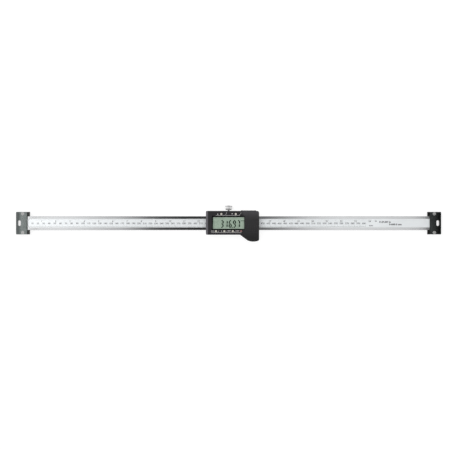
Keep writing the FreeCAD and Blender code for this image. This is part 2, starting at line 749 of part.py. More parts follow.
boss_centres = rail_centres(dim.boss_inset, dim.boss_inset)
plate_screw_centres = rail_centres(dim.plate_screw_inset, dim.plate_screw_inset)
board_screw_centres = rail_centres(dim.board_screw_left, dim.board_screw_right)
mount_inset = slider_length / 2 - dim.mount_pitch / 2
mount_centres = rail_centres(mount_inset, mount_inset)
gib_screw_centres = [(slider_left + dim.gib_screw_inset, beam_middle),
                     (slider_right - dim.gib_screw_inset, beam_middle)]
carriage_y = (carriage_low + carriage_top) / 2
carriage_width = carriage_top - carriage_low
boss_head_seat = rail_back + dim.boss_head_sink + dim.boss_head_height


def make_carriage():
    body = new_body("carriage")
    add_block(body, "outer_block", slider_centre, carriage_y, rail_back, carriage_length, carriage_width,
              web_front - rail_back)
    cut_block(body, "beam_channel", slider_centre, (lower_rail + upper_rail) / 2, rail_back,
              carriage_length, upper_rail - lower_rail, web_back - rail_back)
    cut_block(body, "sensor_window", slider_centre, 0, web_back, carriage_length - 2 * dim.bridge_length,
              dim.strip_width + 2 * dim.window_clear, dim.web_thick)
    cut_bores(body, "plate_threads", plate_screw_centres, rail_back, dim.plate_screw_thread,
              dim.plate_screw_bite + dim.drive_depth)
    cut_bores(body, "mount_threads", mount_centres, rail_back, dim.mount_bore, dim.mount_depth)
    cut_bores(body, "housing_screw_holes", boss_centres, rail_back,
              dim.boss_screw_thread + 2 * dim.clearance_fit, web_front - rail_back)
    cut_bores(body, "housing_screw_heads", boss_centres, rail_back,
              dim.boss_screw_head + 2 * dim.clearance_fit, boss_head_seat - rail_back)
    cut_bores(body, "board_threads", board_screw_centres, web_back, dim.board_screw_thread, dim.web_thick)
    cut_cross_bores(body, "gib_threads", gib_screw_centres, upper_rail, dim.gib_screw_thread,
                    carriage_top - upper_rail)
    cut_cross_bores(body, "lock_thread", [(lock_x, beam_middle)], upper_rail, dim.lock_thread,
                    carriage_top - upper_rail)


def make_back_plate():
    body = new_body("back_plate")
    add_block(body, "plate", slider_centre, carriage_y, dim.plate_lift, carriage_length, carriage_width,
              dim.plate_thick)
    corners = [(x, y) for x in (slider_left + carriage_inset, slider_right - carriage_inset)
               for y in (carriage_low, carriage_top)]
    fillet(body, "corners", edges_where(body, is_upright_at(corners)), dim.bracket_corner)
    cut_bores(body, "screw_holes", plate_screw_centres, dim.plate_lift,
              dim.plate_screw_thread + 2 * dim.clearance_fit, dim.plate_thick)
    countersink(body, plate_screw_centres, dim.plate_lift, dim.plate_screw_thread, dim.plate_screw_head)
    cut_bores(body, "mount_threads", mount_centres, dim.plate_lift, dim.mount_bore, dim.plate_thick)
    countersunk_screws("back_plate_screws", plate_screw_centres, dim.plate_lift, dim.plate_screw_thread,
                       dim.plate_screw_head, dim.plate_thick + dim.plate_screw_bite)


def make_gib():
    length = carriage_length - 2 * dim.gib_end_gap
    block_node("gib_strip", slider_centre, gib_back - dim.gib_thick / 2, beam_back + dim.slide_fit, length,
               dim.gib_thick, dim.beam_thick - 2 * dim.slide_fit)
    body = new_body("gib_screws")
    sketch = upright_sketch(body, "grub_screws", gib_back)
    draw_circles(sketch, gib_screw_centres, dim.gib_screw_thread / 2 - dim.thread_fit)
    extrude(body, "Pad", sketch, dim.gib_screw_length)
    cut_cross_bores(body, "sockets", gib_screw_centres,
                    gib_back + dim.gib_screw_length - dim.gib_socket_depth, dim.gib_socket,
                    dim.gib_socket_depth)


# Lock screw and its pad

lock_pad_low = gib_back + dim.lock_gap
lock_tip = lock_pad_low + dim.lock_pad_length
collar_low = housing_top + dim.knob_clear
rim_low = collar_low + dim.collar_height
rim_top = rim_low + dim.knob_height


def make_lock():
    pad = new_body("lock_pad")
    sketch = upright_sketch(pad, "plug", lock_pad_low)
    draw_circles(sketch, [(lock_x, beam_middle)], dim.lock_thread / 2 - dim.lock_pad_fit)
    extrude(pad, "Pad", sketch, dim.lock_pad_length)

    screw = new_body("lock_screw")
    thread = dim.lock_thread / 2 - dim.thread_fit
    neck_start = carriage_top - dim.lock_neck_start
    neck, collar, rim, nub = dim.lock_neck / 2, dim.collar_width / 2, dim.knob_width / 2, dim.nub_width / 2
    bevel = dim.knob_bevel
    profile = flat_sketch(screw, "turned_profile", beam_middle)
    bind(profile, "AttachmentOffset.Base.x", lock_x)
    draw_outline(profile, [
        (0, lock_tip), (thread, lock_tip), (thread, neck_start), (neck, neck_start), (neck, collar_low),
        (collar, collar_low), (collar, rim_low), (rim - bevel, rim_low), (rim, rim_low + bevel),
        (rim, rim_top - bevel), (rim - bevel, rim_top), (nub, rim_top),
        (nub - dim.nub_height, rim_top + dim.nub_height), (0, rim_top + dim.nub_height)])
    turned = screw.newObject("PartDesign::Revolution", "turned")
    turned.Profile = profile
    turned.ReferenceAxis = (profile, ["V_Axis"])
    turned.Angle = 360
    doc.recompute()
    groove = upright_sketch(screw, "knurl_groove", rim_low)
    reach = rim + dim.knurl_depth
    draw_outline(groove, [(lock_x + rim - dim.knurl_depth, beam_middle),
                          (lock_x + reach, beam_middle - dim.knurl_width),
                          (lock_x + reach, beam_middle + dim.knurl_width)])
    cut = extrude(screw, "Pocket", groove, dim.knob_height)
    knurl = screw.newObject("PartDesign::PolarPattern", "knurl")
    knurl.Originals = [cut]
    knurl.Axis = (profile, ["V_Axis"])
    knurl.Angle = 360
    knurl.Occurrences = KNURL_COUNT
    screw.Tip = knurl
    doc.recompute()


# Circuit boards and display

def make_boards():
    board = new_body("main_board")
    board_length = carriage_length - 2 * dim.board_inset
    board_width = carriage_width - 2 * dim.board_inset
    add_block(board, "panel", slider_centre, carriage_y, web_front, board_length, board_width,
              dim.board_thick)
    clear = dim.boss_width / 2 + dim.boss_clear
    for index, (x, y) in enumerate(boss_centres):
        left, low = index < 2, index % 2 == 0
        notch_end = x + clear if left else x - clear
        board_end = slider_centre - board_length / 2 if left else slider_centre + board_length / 2
        notch_side = y + clear if low else y - clear
        board_side = carriage_y - board_width / 2 if low else carriage_y + board_width / 2
        length = notch_end - board_end if left else board_end - notch_end
        width = notch_side - board_side if low else board_side - notch_side
        cut_block(board, f"boss_notch{index + 1}", (notch_end + board_end) / 2, (notch_side + board_side) / 2,
                  web_front, length, width, dim.board_thick)
    cut_bores(board, "screw_holes", board_screw_centres, web_front,
              dim.board_screw_thread + 2 * dim.clearance_fit, dim.board_thick)
    pan_screws("board_screws", board_screw_centres, board_front, True, dim.board_screw_thread,
               dim.board_screw_head, dim.board_head_height,
               dim.board_thick + dim.web_thick - dim.board_screw_tip)

    window_length = carriage_length - 2 * dim.bridge_length
    window_width = dim.strip_width + 2 * dim.window_clear
    sensor_back = beam_front + dim.sensor_gap
    sensor_front = sensor_back + dim.sensor_thick
    block_node("sensor_board", slider_centre, 0, sensor_back, window_length - 2 * dim.sensor_fit,
               window_width - 2 * dim.sensor_fit, dim.sensor_thick)
    headers = new_body("board_headers")
    sketch = flat_sketch(headers, "header_strips", sensor_front)
    for side in (-1, 1):
        draw_rectangle(sketch, slider_centre + side * dim.header_pitch / 2, 0, dim.header_length,
                       dim.header_width)
    extrude(headers, "Pad", sketch, web_front - sensor_front)

    chip = new_body("controller_chip")
    add_posts(chip, "cap", [(view_centre, dim.view_rise)], board_front, dim.chip_width, dim.chip_height)
    chip_front = board_front + dim.chip_height
    fillet(chip, "cap_rounding", edges_where(chip, is_level_at(chip_front)), dim.chip_round)


def make_display():
    lcd_length = dim.view_width + 2 * dim.lcd_margin_side
    lcd_low = view_low - dim.lcd_margin_low
    lcd_top = view_top + dim.lcd_margin_top
    lcd_width = lcd_top - lcd_low
    lcd_y = (lcd_low + lcd_top) / 2
    block_node("display_panel", view_centre, lcd_y, lcd_back, lcd_length, lcd_width, dim.lcd_thick)

    holder = new_body("display_holder")
    pocket_length = lcd_length + 2 * dim.lcd_fit
    pocket_width = lcd_width + 2 * dim.lcd_fit
    holder_front = lcd_front - dim.holder_gap
    add_block(holder, "tray", view_centre, lcd_y, board_front, pocket_length + 2 * dim.holder_wall,
              pocket_width + 2 * dim.holder_wall, holder_front - board_front)
    cut_block(holder, "panel_pocket", view_centre, lcd_y, lcd_back, pocket_length, pocket_width,
              holder_front - lcd_back)
    opening_length = lcd_length - 2 * dim.holder_lip
    opening_width = lcd_width - 2 * dim.holder_lip
    cut_block(holder, "opening", view_centre, lcd_y, board_front, opening_length, opening_width,
              dim.zebra_height)

    zebra_y = lcd_top - dim.holder_lip - dim.lcd_fit - dim.zebra_width / 2
    block_node("zebra_strip", view_centre, zebra_y, board_front, opening_length - 2 * dim.lcd_fit,
               dim.zebra_width, dim.zebra_height)

    lens = new_body("display_lens")
    add_block(lens, "pane", view_centre, dim.view_rise, lens_back, dim.view_width + 2 * dim.lens_side,
              dim.view_height + 2 * dim.lens_edge, dim.lens_thick)


# Housing, front film and buttons

upper_button_places = [view_start + dim.upper_button_inset, view_end - dim.upper_button_inset]
lower_button_pitch = (dim.view_width - 2 * dim.lower_button_inset) / 3
lower_button_places = [view_start + dim.lower_button_inset + index * lower_button_pitch for index in range(4)]
BUTTON_NAMES = ("preset_up", "preset_down", "units", "zero", "set", "power")
button_centres = [(x, upper_row) for x in upper_button_places] + [(x, lower_row) for x in lower_button_places]

# The raised grip's left edge, from the top edge of the housing to its lower edge
grip_edge = [(grip_start - dim.grip_top_lead, housing_top), (grip_start, view_top), (grip_start, view_low),
             (grip_start - dim.foot_lead, housing_low)]
foot_start = grip_start - dim.foot_lead
foot_turn = foot_start + dim.foot_run


def on_line(start, end, y):
    """The x of the line from start to end at the height y."""
    return start[0] + (end[0] - start[0]) * (y - start[1]) / (end[1] - start[1])


def film_outline(gap):
    """Outline of the front film, which goes round the lens on three sides, made smaller by the gap."""
    left = slider_left + dim.bevel_run + dim.film_edge + gap
    low = housing_low + dim.film_edge + gap
    top = housing_top - dim.film_edge - gap
    lens_left = view_start - dim.lens_side - dim.lens_fit - gap
    lens_under = lens_low - dim.lens_fit - gap
    lens_over = lens_top + dim.lens_fit + gap
    back_off = dim.film_grip_gap + gap
    upper, lower = grip_edge[:2], grip_edge[2:]
    return [(left, low), (on_line(*lower, low) - back_off, low),
            (on_line(*lower, lens_under) - back_off, lens_under), (lens_left, lens_under),
            (lens_left, lens_over), (on_line(*upper, lens_over) - back_off, lens_over),
            (on_line(*upper, top) - back_off, top), (left, top)]


def make_housing():
    body = new_body("front_housing")
    outline = [(slider_left, housing_low), (foot_start, housing_low), (foot_turn, foot_low),
               (slider_right, foot_low), (slider_right, housing_top), (slider_left, housing_top)]
    sketch = flat_sketch(body, "outer_outline", skirt)
    draw_outline(sketch, outline, {2: dim.foot_sag})
    extrude(body, "Pad", sketch, grip_face - skirt)
    fillet(body, "left_corners", edges_where(body, is_upright_at([outline[0], outline[5]])), dim.corner_left)
    fillet(body, "top_right_corner", edges_where(body, is_upright_at([outline[4]])), dim.corner_right)
    fillet(body, "foot_corners", edges_where(body, is_upright_at([outline[2], outline[3]])), dim.foot_corner)

    # The front steps down from the grip to the display, and the foot's front leans back
    margin = dim.housing_wall
    lowered = [(slider_left - margin, housing_low - margin), (grip_edge[3][0], housing_low - margin),
               grip_edge[3], grip_edge[2], grip_edge[1], grip_edge[0],
               (grip_edge[0][0], housing_top + margin), (slider_left - margin, housing_top + margin)]
    cut_outline(body, "display_level", face, lowered, dim.grip_rise)
    lean = side_sketch(body, "foot_lean", foot_start)
    foot_end = foot_low - dim.foot_sag
    draw_outline(lean, [(foot_end, grip_face), (foot_end, grip_face - dim.foot_fall),
                        (housing_low, grip_face)])
    extrude(body, "Pocket", lean, slider_right - foot_start)
    bevel = upright_sketch(body, "left_bevel", housing_low)
    draw_outline(bevel, [(slider_left + dim.bevel_run, face), (slider_left - dim.bevel_run, face),
                         (slider_left - dim.bevel_run, face - 2 * dim.bevel_drop)])
    extrude(body, "Pocket", bevel, housing_top - housing_low)
    on_grip = is_level_at(grip_face)

    def on_top_rim(edge):
        return on_grip(edge) and abs(edge.BoundBox.YMin - housing_top.value) < NEAR

    fillet(body, "grip_rim", edges_where(body, on_top_rim), dim.rim_round)

    # Room inside for the carriage, the boards and the display, and the hollow of the foot
    cavity_low = housing_low + dim.housing_wall
    cavity_top = housing_top - dim.housing_wall
    cut_block(body, "cavity", slider_centre, (cavity_low + cavity_top) / 2, skirt,
              slider_length - 2 * dim.housing_wall, cavity_top - cavity_low, inner_face - skirt)
    wall = dim.housing_wall
    slope_step = wall * dim.foot_run / dim.foot_drop
    cut_outline(body, "foot_hollow", skirt,
                [(foot_turn + wall, foot_low + wall), (slider_right - 2 * wall, foot_low + wall),
                 (slider_right - 2 * wall, housing_low), (foot_start + wall + slope_step, housing_low)],
                inner_face - skirt - wall)

    # Seats of the lens, the film and the buttons
    cut_block(body, "lens_recess", view_centre, dim.view_rise, lens_back,
              dim.view_width + 2 * (dim.lens_side + dim.lens_fit),
              dim.view_height + 2 * (dim.lens_edge + dim.lens_fit), face - lens_back)
    cut_block(body, "view_opening", view_centre, dim.view_rise, inner_face,
              dim.view_width + 2 * dim.view_margin, dim.view_height + 2 * dim.view_margin, dim.lens_ledge)
    cut_outline(body, "film_recess", film_back, film_outline(Size("0.0", 0.0)), dim.film_recess)
    cut_bores(body, "button_holes", button_centres, inner_face, dim.button_width + 2 * dim.button_fit,
              face - inner_face)

    # Opening of the battery cover with grooves for its tongues, and the hatch over the coin cell
    opening_left = cover_left - dim.cover_fit
    opening_length = slider_right - opening_left
    opening_x = (opening_left + slider_right) / 2
    opening_width = dim.cover_height + 2 * dim.cover_fit
    groove_height = dim.tongue + 2 * dim.cover_fit
    cut_block(body, "cover_opening", opening_x, cell_y, cover_back - dim.cover_fit, opening_length,
              opening_width, grip_face - cover_back + dim.cover_fit)
    cut_block(body, "cover_grooves", opening_x, cell_y, cover_back - dim.cover_fit, opening_length,
              opening_width + 2 * dim.tongue, groove_height)
    hatch = dim.battery_width + 2 * (dim.battery_fit + dim.hatch_clear)
    cut_bores(body, "battery_hatch", [(cell_x, cell_y)], inner_face, hatch,
              cover_back - dim.cover_fit - inner_face)

    # Channel of the port cover in the top wall, and the port itself
    channel_left = port_cover_left - dim.port_travel - dim.port_fit
    channel_right = port_cover_left + dim.port_cover_length + dim.port_fit
    channel_x = (channel_left + channel_right) / 2
    channel_length = channel_right - channel_left
    channel_floor = cavity_top + dim.port_floor
    channel_width = dim.port_cover_width + 2 * dim.port_fit
    undercut_height = dim.port_flange + 2 * dim.port_fit
    for name, low, top, width in (
            ("port_channel", channel_floor, housing_top, channel_width),
            ("port_undercut", channel_floor, channel_floor + undercut_height,
             channel_width + 2 * dim.port_flange)):
        cut_block(body, name, channel_x, (low + top) / 2, port_middle - width / 2, channel_length, top - low,
                  width)
    cut_block(body, "port_opening", port_x, cavity_top + dim.port_floor / 2,
              port_middle - dim.port_height / 2, dim.port_width, dim.port_floor, dim.port_height)

    # Bosses that the housing screws bite into
    add_posts(body, "bosses", boss_centres, web_front, dim.boss_width, inner_face - web_front)
    cut_bores(body, "boss_threads", boss_centres, web_front, dim.boss_screw_thread,
              dim.boss_screw_bite + dim.boss_tip_gap)
    pan_screws("housing_screws", boss_centres, boss_head_seat, False, dim.boss_screw_thread,
               dim.boss_screw_head, dim.boss_head_height, web_front + dim.boss_screw_bite - boss_head_seat)


def make_film():
    body = new_body("front_film")
    sketch = flat_sketch(body, "film_outline", film_back)
    draw_outline(sketch, film_outline(dim.film_fit))
    extrude(body, "Pad", sketch, dim.film_thick)
    cut_bores(body, "button_holes", button_centres, film_back, dim.button_width + 2 * dim.button_fit,
              dim.film_thick)


def make_buttons():
    domes = new_body("dome_switches")
    add_posts(domes, "dome_plates", button_centres, board_front, dim.dome_width, dim.dome_height / 2)
    add_posts(domes, "dome_tops", button_centres, board_front + dim.dome_height / 2, dim.dome_width / 2,
              dim.dome_height / 2)
    flange_front = inner_face - dim.flange_gap
    flange_back = flange_front - dim.flange_thick
    stem_back = board_front + dim.dome_height + dim.press_gap
    top = film_front + dim.button_proud
    for name, (x, y) in zip(BUTTON_NAMES, button_centres):
        body = new_body(f"{name}_button")
        add_block(body, "flange", x, y, flange_back, dim.button_width + 2 * dim.flange_lip,
                  dim.button_width - 2 * dim.button_fit, dim.flange_thick)
        add_posts(body, "key", [(x, y)], flange_front, dim.button_width, top - flange_front)
        add_posts(body, "stem", [(x, y)], stem_back, dim.stem_width, flange_back - stem_back)
        fillet(body, "key_rounding", edges_where(body, is_level_at(top)), dim.button_round)


# Battery, its contacts and its cover

def make_battery():
    cell = new_body("coin_cell")
    add_posts(cell, "can", [(cell_x, cell_y)], cell_back, dim.battery_width, dim.battery_thick)
    rims = edges_where(cell, lambda edge: is_level_at(cell_front)(edge) or is_level_at(cell_back)(edge))
    fillet(cell, "can_rounding", rims, dim.contact_thick)

    tray = new_body("battery_tray")
    bore = dim.battery_width + 2 * dim.battery_fit
    tray_width = bore + 2 * dim.tray_wall
    add_posts(tray, "ring", [(cell_x, cell_y)], board_front, tray_width, dim.tray_floor + dim.tray_rim)
    cut_bores(tray, "cell_bore", [(cell_x, cell_y)], cell_back, bore, dim.tray_rim)
    cut_bores(tray, "contact_hole", [(cell_x, cell_y)], board_front, dim.tray_opening, dim.tray_floor)

    spring_height = dim.tray_floor - dim.contact_gap
    negative = new_body("negative_contact")
    add_posts(negative, "pad", [(cell_x, cell_y)], board_front,
              dim.tray_opening - 2 * dim.clearance_fit, dim.contact_thick)
    cone_at(negative, "AdditiveCone", "spring", cell_x, cell_y, board_front, dim.contact_width / 2,
            dim.contact_width / 4, spring_height)

    positive = new_body("positive_contact")
    thick = dim.contact_thick
    arm_low = cell_front + dim.contact_gap
    riser_y = cell_y + tray_width / 2 + dim.contact_stand
    bent = side_sketch(positive, "bent_strip", cell_x - dim.contact_width / 2)
    arm_end = cell_y + dim.battery_width / 2 - dim.contact_reach
    draw_outline(bent, [(riser_y, board_front), (riser_y + dim.contact_foot, board_front),
                        (riser_y + dim.contact_foot, board_front + thick),
                        (riser_y + thick, board_front + thick), (riser_y + thick, arm_low + thick),
                        (arm_end, arm_low + thick), (arm_end, arm_low), (riser_y, arm_low)])
    extrude(positive, "Pad", bent, dim.contact_width)


def make_battery_cover():
    body = new_body("battery_cover")
    length = slider_right - cover_left
    cover_x = (cover_left + slider_right) / 2
    add_block(body, "plate", cover_x, cell_y, cover_back, length, dim.cover_height, dim.cover_thick)
    add_block(body, "tongues", cover_x, cell_y, cover_back, length, dim.cover_height + 2 * dim.tongue,
              dim.tongue)
    rib_y = cell_y - dim.cover_height / 2 + dim.rib_edge + dim.rib_length / 2
    ribs = flat_sketch(body, "grip_ribs", grip_face)
    for index in range(RIB_COUNT):
        rib_x = cover_x + (index - (RIB_COUNT - 1) / 2) * dim.rib_pitch
        draw_slot(ribs, rib_x, rib_y, dim.rib_width, dim.rib_length)
    extrude(body, "Pad", ribs, dim.rib_proud)


# Data port

def make_data_port():
    cover = new_body("data_port_cover")
    cover_x = port_cover_left + dim.port_cover_length / 2
    base = housing_top - dim.housing_wall + dim.port_floor + dim.port_fit
    top = housing_top + dim.port_cover_proud
    z = port_middle - dim.port_cover_width / 2
    add_block(cover, "slide", cover_x, (base + top) / 2, z, dim.port_cover_length, top - base,
              dim.port_cover_width)
    add_block(cover, "flanges", cover_x, base + dim.port_flange / 2, z - dim.port_flange,
              dim.port_cover_length, dim.port_flange, dim.port_cover_width + 2 * dim.port_flange)
    ridges = flat_sketch(cover, "ridge_grooves", z)
    for index in range(RIDGE_COUNT):
        ridge_x = cover_x + (index - (RIDGE_COUNT - 1) / 2) * dim.ridge_pitch
        draw_rectangle(ridges, ridge_x, top - dim.ridge_depth / 2, dim.ridge_width, dim.ridge_depth)
    extrude(cover, "Pocket", ridges, dim.port_cover_width)

    pins = new_body("data_contacts")
    board_edge = carriage_top - dim.board_inset
    sketch = flat_sketch(pins, "pin_strips", board_front)
    for index in range(PIN_COUNT):
        pin_x = port_x + (index - (PIN_COUNT - 1) / 2) * dim.pin_pitch
        draw_rectangle(sketch, pin_x, board_edge - dim.pin_length / 2, dim.pin_width, dim.pin_length)
    extrude(pins, "Pad", sketch, dim.contact_thick)


def check_document():
    """Stops before anything is written if an object failed or a piece has no sound shape."""
    doc.recompute()
    for obj in doc.Objects:
        if "Invalid" in obj.State or "Error" in obj.State:
            raise RuntimeError(f"{obj.Label} failed: {obj.State}")
    for node in nodes:
        if node.Shape.isNull() or not node.Shape.isValid() or not node.Shape.Solids:
            raise RuntimeError(f"{node.Label} has no sound shape")


def main():
    make_beam()
    make_measuring_strip()
    make_bracket("left", -1)
    make_bracket("right", 1)
    make_carriage()
    make_back_plate()
    make_gib()
    make_lock()
    make_boards()
    make_display()
    make_housing()
    make_film()
    make_buttons()
    make_battery()
    make_battery_cover()
    make_data_port()
    check_document()
    os.makedirs("parts", exist_ok=True)
    for node in nodes:
        node.Shape.exportStep(f"parts/{node.Label}.step")


main()
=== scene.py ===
import json
import math

import bmesh
import bpy
from bpy.props import FloatProperty, FloatVectorProperty, IntProperty, PointerProperty, StringProperty
from bpy.types import Operator, Panel, PropertyGroup
from mathutils import Matrix, Vector


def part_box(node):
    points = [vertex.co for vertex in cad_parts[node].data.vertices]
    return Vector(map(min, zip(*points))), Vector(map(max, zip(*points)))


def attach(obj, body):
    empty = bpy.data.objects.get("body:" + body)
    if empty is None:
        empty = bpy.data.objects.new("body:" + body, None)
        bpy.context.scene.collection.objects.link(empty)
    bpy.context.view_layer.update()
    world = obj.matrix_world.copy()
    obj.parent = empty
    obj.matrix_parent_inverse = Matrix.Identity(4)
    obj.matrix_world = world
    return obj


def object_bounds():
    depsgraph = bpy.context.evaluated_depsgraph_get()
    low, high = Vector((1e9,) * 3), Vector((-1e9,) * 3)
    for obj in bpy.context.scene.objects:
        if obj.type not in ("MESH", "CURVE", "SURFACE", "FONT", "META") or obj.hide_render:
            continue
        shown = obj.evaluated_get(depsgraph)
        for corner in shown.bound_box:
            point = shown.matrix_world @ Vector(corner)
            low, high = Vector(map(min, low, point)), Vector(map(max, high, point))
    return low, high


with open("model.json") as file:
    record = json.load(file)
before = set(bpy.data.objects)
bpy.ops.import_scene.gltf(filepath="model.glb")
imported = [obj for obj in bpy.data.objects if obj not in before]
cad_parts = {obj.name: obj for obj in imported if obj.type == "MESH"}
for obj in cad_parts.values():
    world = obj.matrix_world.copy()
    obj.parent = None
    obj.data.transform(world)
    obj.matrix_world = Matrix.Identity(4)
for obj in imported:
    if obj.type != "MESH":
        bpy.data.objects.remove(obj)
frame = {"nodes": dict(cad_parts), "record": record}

bl_info = {
    "name": "Linear Scale Dressing",
    "version": (1, 0, 0),
    "blender": (4, 5, 0),
    "location": "View3D > Sidebar > Scale",
    "description": "Graduations, display figures, film print, finishes and stage of a digital linear scale",
    "category": "Object",
}

# The frame at rest
MM = 0.001
CAD_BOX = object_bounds()
NODES = frame["nodes"]
SLOT_OF = {row["node"]: row["material_slot"] for row in frame["record"]["subparts"]}
LABEL_LOW, LABEL_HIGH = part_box("scale_label")
PANEL_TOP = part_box("display_panel")[1].z
LENS_LOW, LENS_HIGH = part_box("display_lens")
FILM_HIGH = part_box("front_film")[1]
CELL_LOW, CELL_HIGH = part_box("coin_cell")
BEAM_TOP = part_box("beam")[1].z
CAP_INSIDE, CAP_OUTSIDE = [corner.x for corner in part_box("right_bracket_cap")]
KNOB_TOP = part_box("lock_screw")[1].y


def length(name, description, millimetres):
    """A length that the user may change, given in millimetres."""
    return FloatProperty(name=name, description=description, default=millimetres * MM,
                         unit="LENGTH", precision=5)


def colour(name, description, shade):
    """A colour that the user may change."""
    return FloatVectorProperty(name=name, description=description, default=shade, size=3,
                               subtype="COLOR", min=0.0, max=1.0)


class GraduationSettings(PropertyGroup):
    zero: length("Zero", "Place of the zero tick along the beam", -356.0)
    millimetres: IntProperty(name="Millimetres", description="Length of the millimetre scale", default=600)
    inches: IntProperty(name="Inches", description="Length of the inch scale", default=24)
    thick: length("Ink", "Height of the printed ink", 0.02)
    tick: length("Tick", "Width of a tick", 0.18)
    edge: length("Edge", "Distance from the strip's edges to the ticks", 0.55)
    short: length("Short tick", "Length of a plain tick", 1.75)
    middle: length("Middle tick", "Length of the tick halfway between two numbers", 2.5)
    long: length("Long tick", "Length of a numbered tick", 3.4)
    figure: length("Figure", "Height of the figures", 2.9)
    millimetre_row: length("Millimetre figures", "Height of the millimetre figures' row on the strip", -0.6)
    inch_row: length("Inch figures", "Height of the inch figures' row on the strip", 3.2)
    millimetre_shift: length("Millimetre shift", "How far a millimetre figure stands before its tick", 3.3)
    inch_shift: length("Inch shift", "How far an inch figure stands before its tick", 2.5)


class DisplaySettings(PropertyGroup):
    reading: StringProperty(name="Reading", description="What the display shows", default="316.97")
    places: IntProperty(name="Places", description="Digits that fit on the display", default=7)
    right: length("Right end", "Right end of the last digit", 20.6)
    low: length("Foot", "Foot of the digits", -8.4)
    high: length("Head", "Head of the digits", 5.5)
    pitch: length("Pitch", "From one digit to the next", 7.3)
    wide: length("Width", "Width of a digit without its lean", 5.6)
    bar: length("Bar", "Width of a segment", 2.1)
    dot: length("Dot", "Width of the dot", 1.4)
    lean: FloatProperty(name="Lean", description="How far the digits lean", default=math.radians(2.5),
                        subtype="ANGLE")
    lit_thick: length("Lit thickness", "Height of a lit segment on the panel", 0.02)
    unlit_thick: length("Unlit thickness", "Height of an unlit segment on the panel", 0.005)
    shadow_thick: length("Shadow thickness", "Height of a segment's shadow on the panel", 0.01)
    shadow_x: length("Shadow across", "Sideways shift of a segment's shadow", 0.3)
    shadow_y: length("Shadow down", "Downward shift of a segment's shadow", -0.25)
    sign_x: length("Unit sign across", "Middle of the unit sign, along the beam", 24.6)
    sign_y: length("Unit sign up", "Middle of the unit sign, across the beam", 4.4)
    sign: length("Unit sign", "Height of the unit sign's letters", 2.6)
    border_thick: length("Border ink", "Height of the window's black border", 0.02)
    border_side: length("Border sides", "Black border of the window, left and right", 0.8)
    border_edge: length("Border edges", "Black border of the window, above and below", 1.42)
    border_gap: length("Border gap", "From the window to the film round it", 0.25)
    border_film: length("Border on film", "Black border on the film round the window", 0.5)
    border_short: length("Border short", "How far the border stops before the film's right end", 2.2)


class PrintSettings(PropertyGroup):
    thick: length("Ink", "Height of the printed ink", 0.02)
    stroke: length("Stroke", "Width of the printed lines", 0.4)
    letter: length("Letter", "Height of the key labels", 2.0)
    letter_rise: length("Letter rise", "Middle of the labels above the middle of their keys", 0.2)
    arrow: length("Arrow", "Half the width of an arrow", 1.15)
    arrow_shift: length("Arrow shift", "How far an arrow stands before its key", 6.3)
    line_gap: length("Line gap", "From the foot of a slash to the next line", 0.8)
    line_end: length("Line end", "From the power key to the end of the lower line", 0.15)
    upper_line: length("Upper line", "Height of the line under the upper keys", 13.6)
    upper_tip: length("Upper tip", "Height where the upper slashes end", 18.9)
    upper_lead: length("Upper lead", "Start of the upper line before its first key", 9.8)
    upper_bend: length("Upper bend", "From an upper key to the foot of its slash", 6.6)
    upper_reach: length("Upper reach", "From an upper key to the tip of its slash", 9.9)
    lower_line: length("Lower line", "Height of the line under the lower keys", -16.75)
    lower_tip: length("Lower tip", "Height where the lower slashes end", -12.7)
    lower_lead: length("Lower lead", "Start of the lower line before its first key", 8.6)
    lower_bend: length("Lower bend", "From a lower key to the foot of its slash", 2.9)
    lower_reach: length("Lower reach", "From a lower key to the tip of its slash", 5.6)


class FinishSettings(PropertyGroup):
    steel: colour("Beam", "Ground steel of the beam", (0.70, 0.71, 0.72))
    strip: colour("Strip", "White film with the graduations", (0.85, 0.88, 0.895))
    # The bases' tint is the caps' anodising darkened as painted shade, where the bases lie lower beside the
    # caps.
    anodised: colour("Bracket bases", "Black anodised bases of the end brackets", (0.042, 0.043, 0.041))
    cap: colour("Bracket caps", "Black anodised caps of the end brackets", (0.070, 0.078, 0.0765))
    plastic: colour("Housing", "Black plastic of the housing and covers", (0.0105, 0.010, 0.0112))
    film: colour("Film", "Dark film round the display", (0.0105, 0.0098, 0.0118))
    glass: colour("Display", "Unlit display", (0.325, 0.407, 0.332))
    figure: colour("Figures", "Lit segments of the display", (0.010, 0.020, 0.013))
    border: colour("Window border", "Black border of the window", (0.0022, 0.0022, 0.0024))
    key: colour("Keys", "Pale keys", (0.54, 0.52, 0.46))
    power_key: colour("Power key", "Red key", (0.25, 0.125, 0.12))
    ink: colour("Strip ink", "Ticks and figures of the strip", (0.035, 0.037, 0.042))
    print_ink: colour("Film ink", "Print on the film", (0.54, 0.53, 0.53))
    power_ink: colour("Power ink", "Print beside the power key", (0.52, 0.46, 0.46))


class StageSettings(PropertyGroup):
    aim_x: length("Aim along", "Point on the beam that the camera looks at, along the beam", -6.4)
    aim_y: length("Aim up", "Point on the beam that the camera looks at, across the beam", -3.3)
    height: length("Height", "Camera height above the beam", 4500.0)
    width: length("Width", "Width of the view at the beam", 800.7)
    view_end: length("View end", "How far the camera sees", 50000.0)
    tent: FloatProperty(name="Tent", description="Brightness of the white tent all round", default=1.78)
    screen: FloatProperty(name="Screen", description="Brightness of the screen over the beam", default=1.12)
    screen_half: length("Screen half", "Half the screen's width, across the beam", 2000.0)
    screen_gap: length("Screen gap", "From the camera up to the screen", 50.0)
    lamp: FloatProperty(name="Lamp", description="Power of the large soft lamp", default=25.0,
                        subtype="POWER")
    lamp_size: length("Lamp size", "Width of the large soft lamp", 2400.0)
    lamp_place: FloatVectorProperty(name="Lamp place", description="Place of the large soft lamp", size=3,
                                    default=(-1.6, 1.5, 2.4), subtype="TRANSLATION")
    floor: colour("Floor", "Pale floor", (0.23, 0.23, 0.23))
    floor_half: length("Floor half", "Half the width of the floor", 15000.0)
    glow: FloatProperty(name="Floor glow", description="Light that comes through the floor", default=0.83)


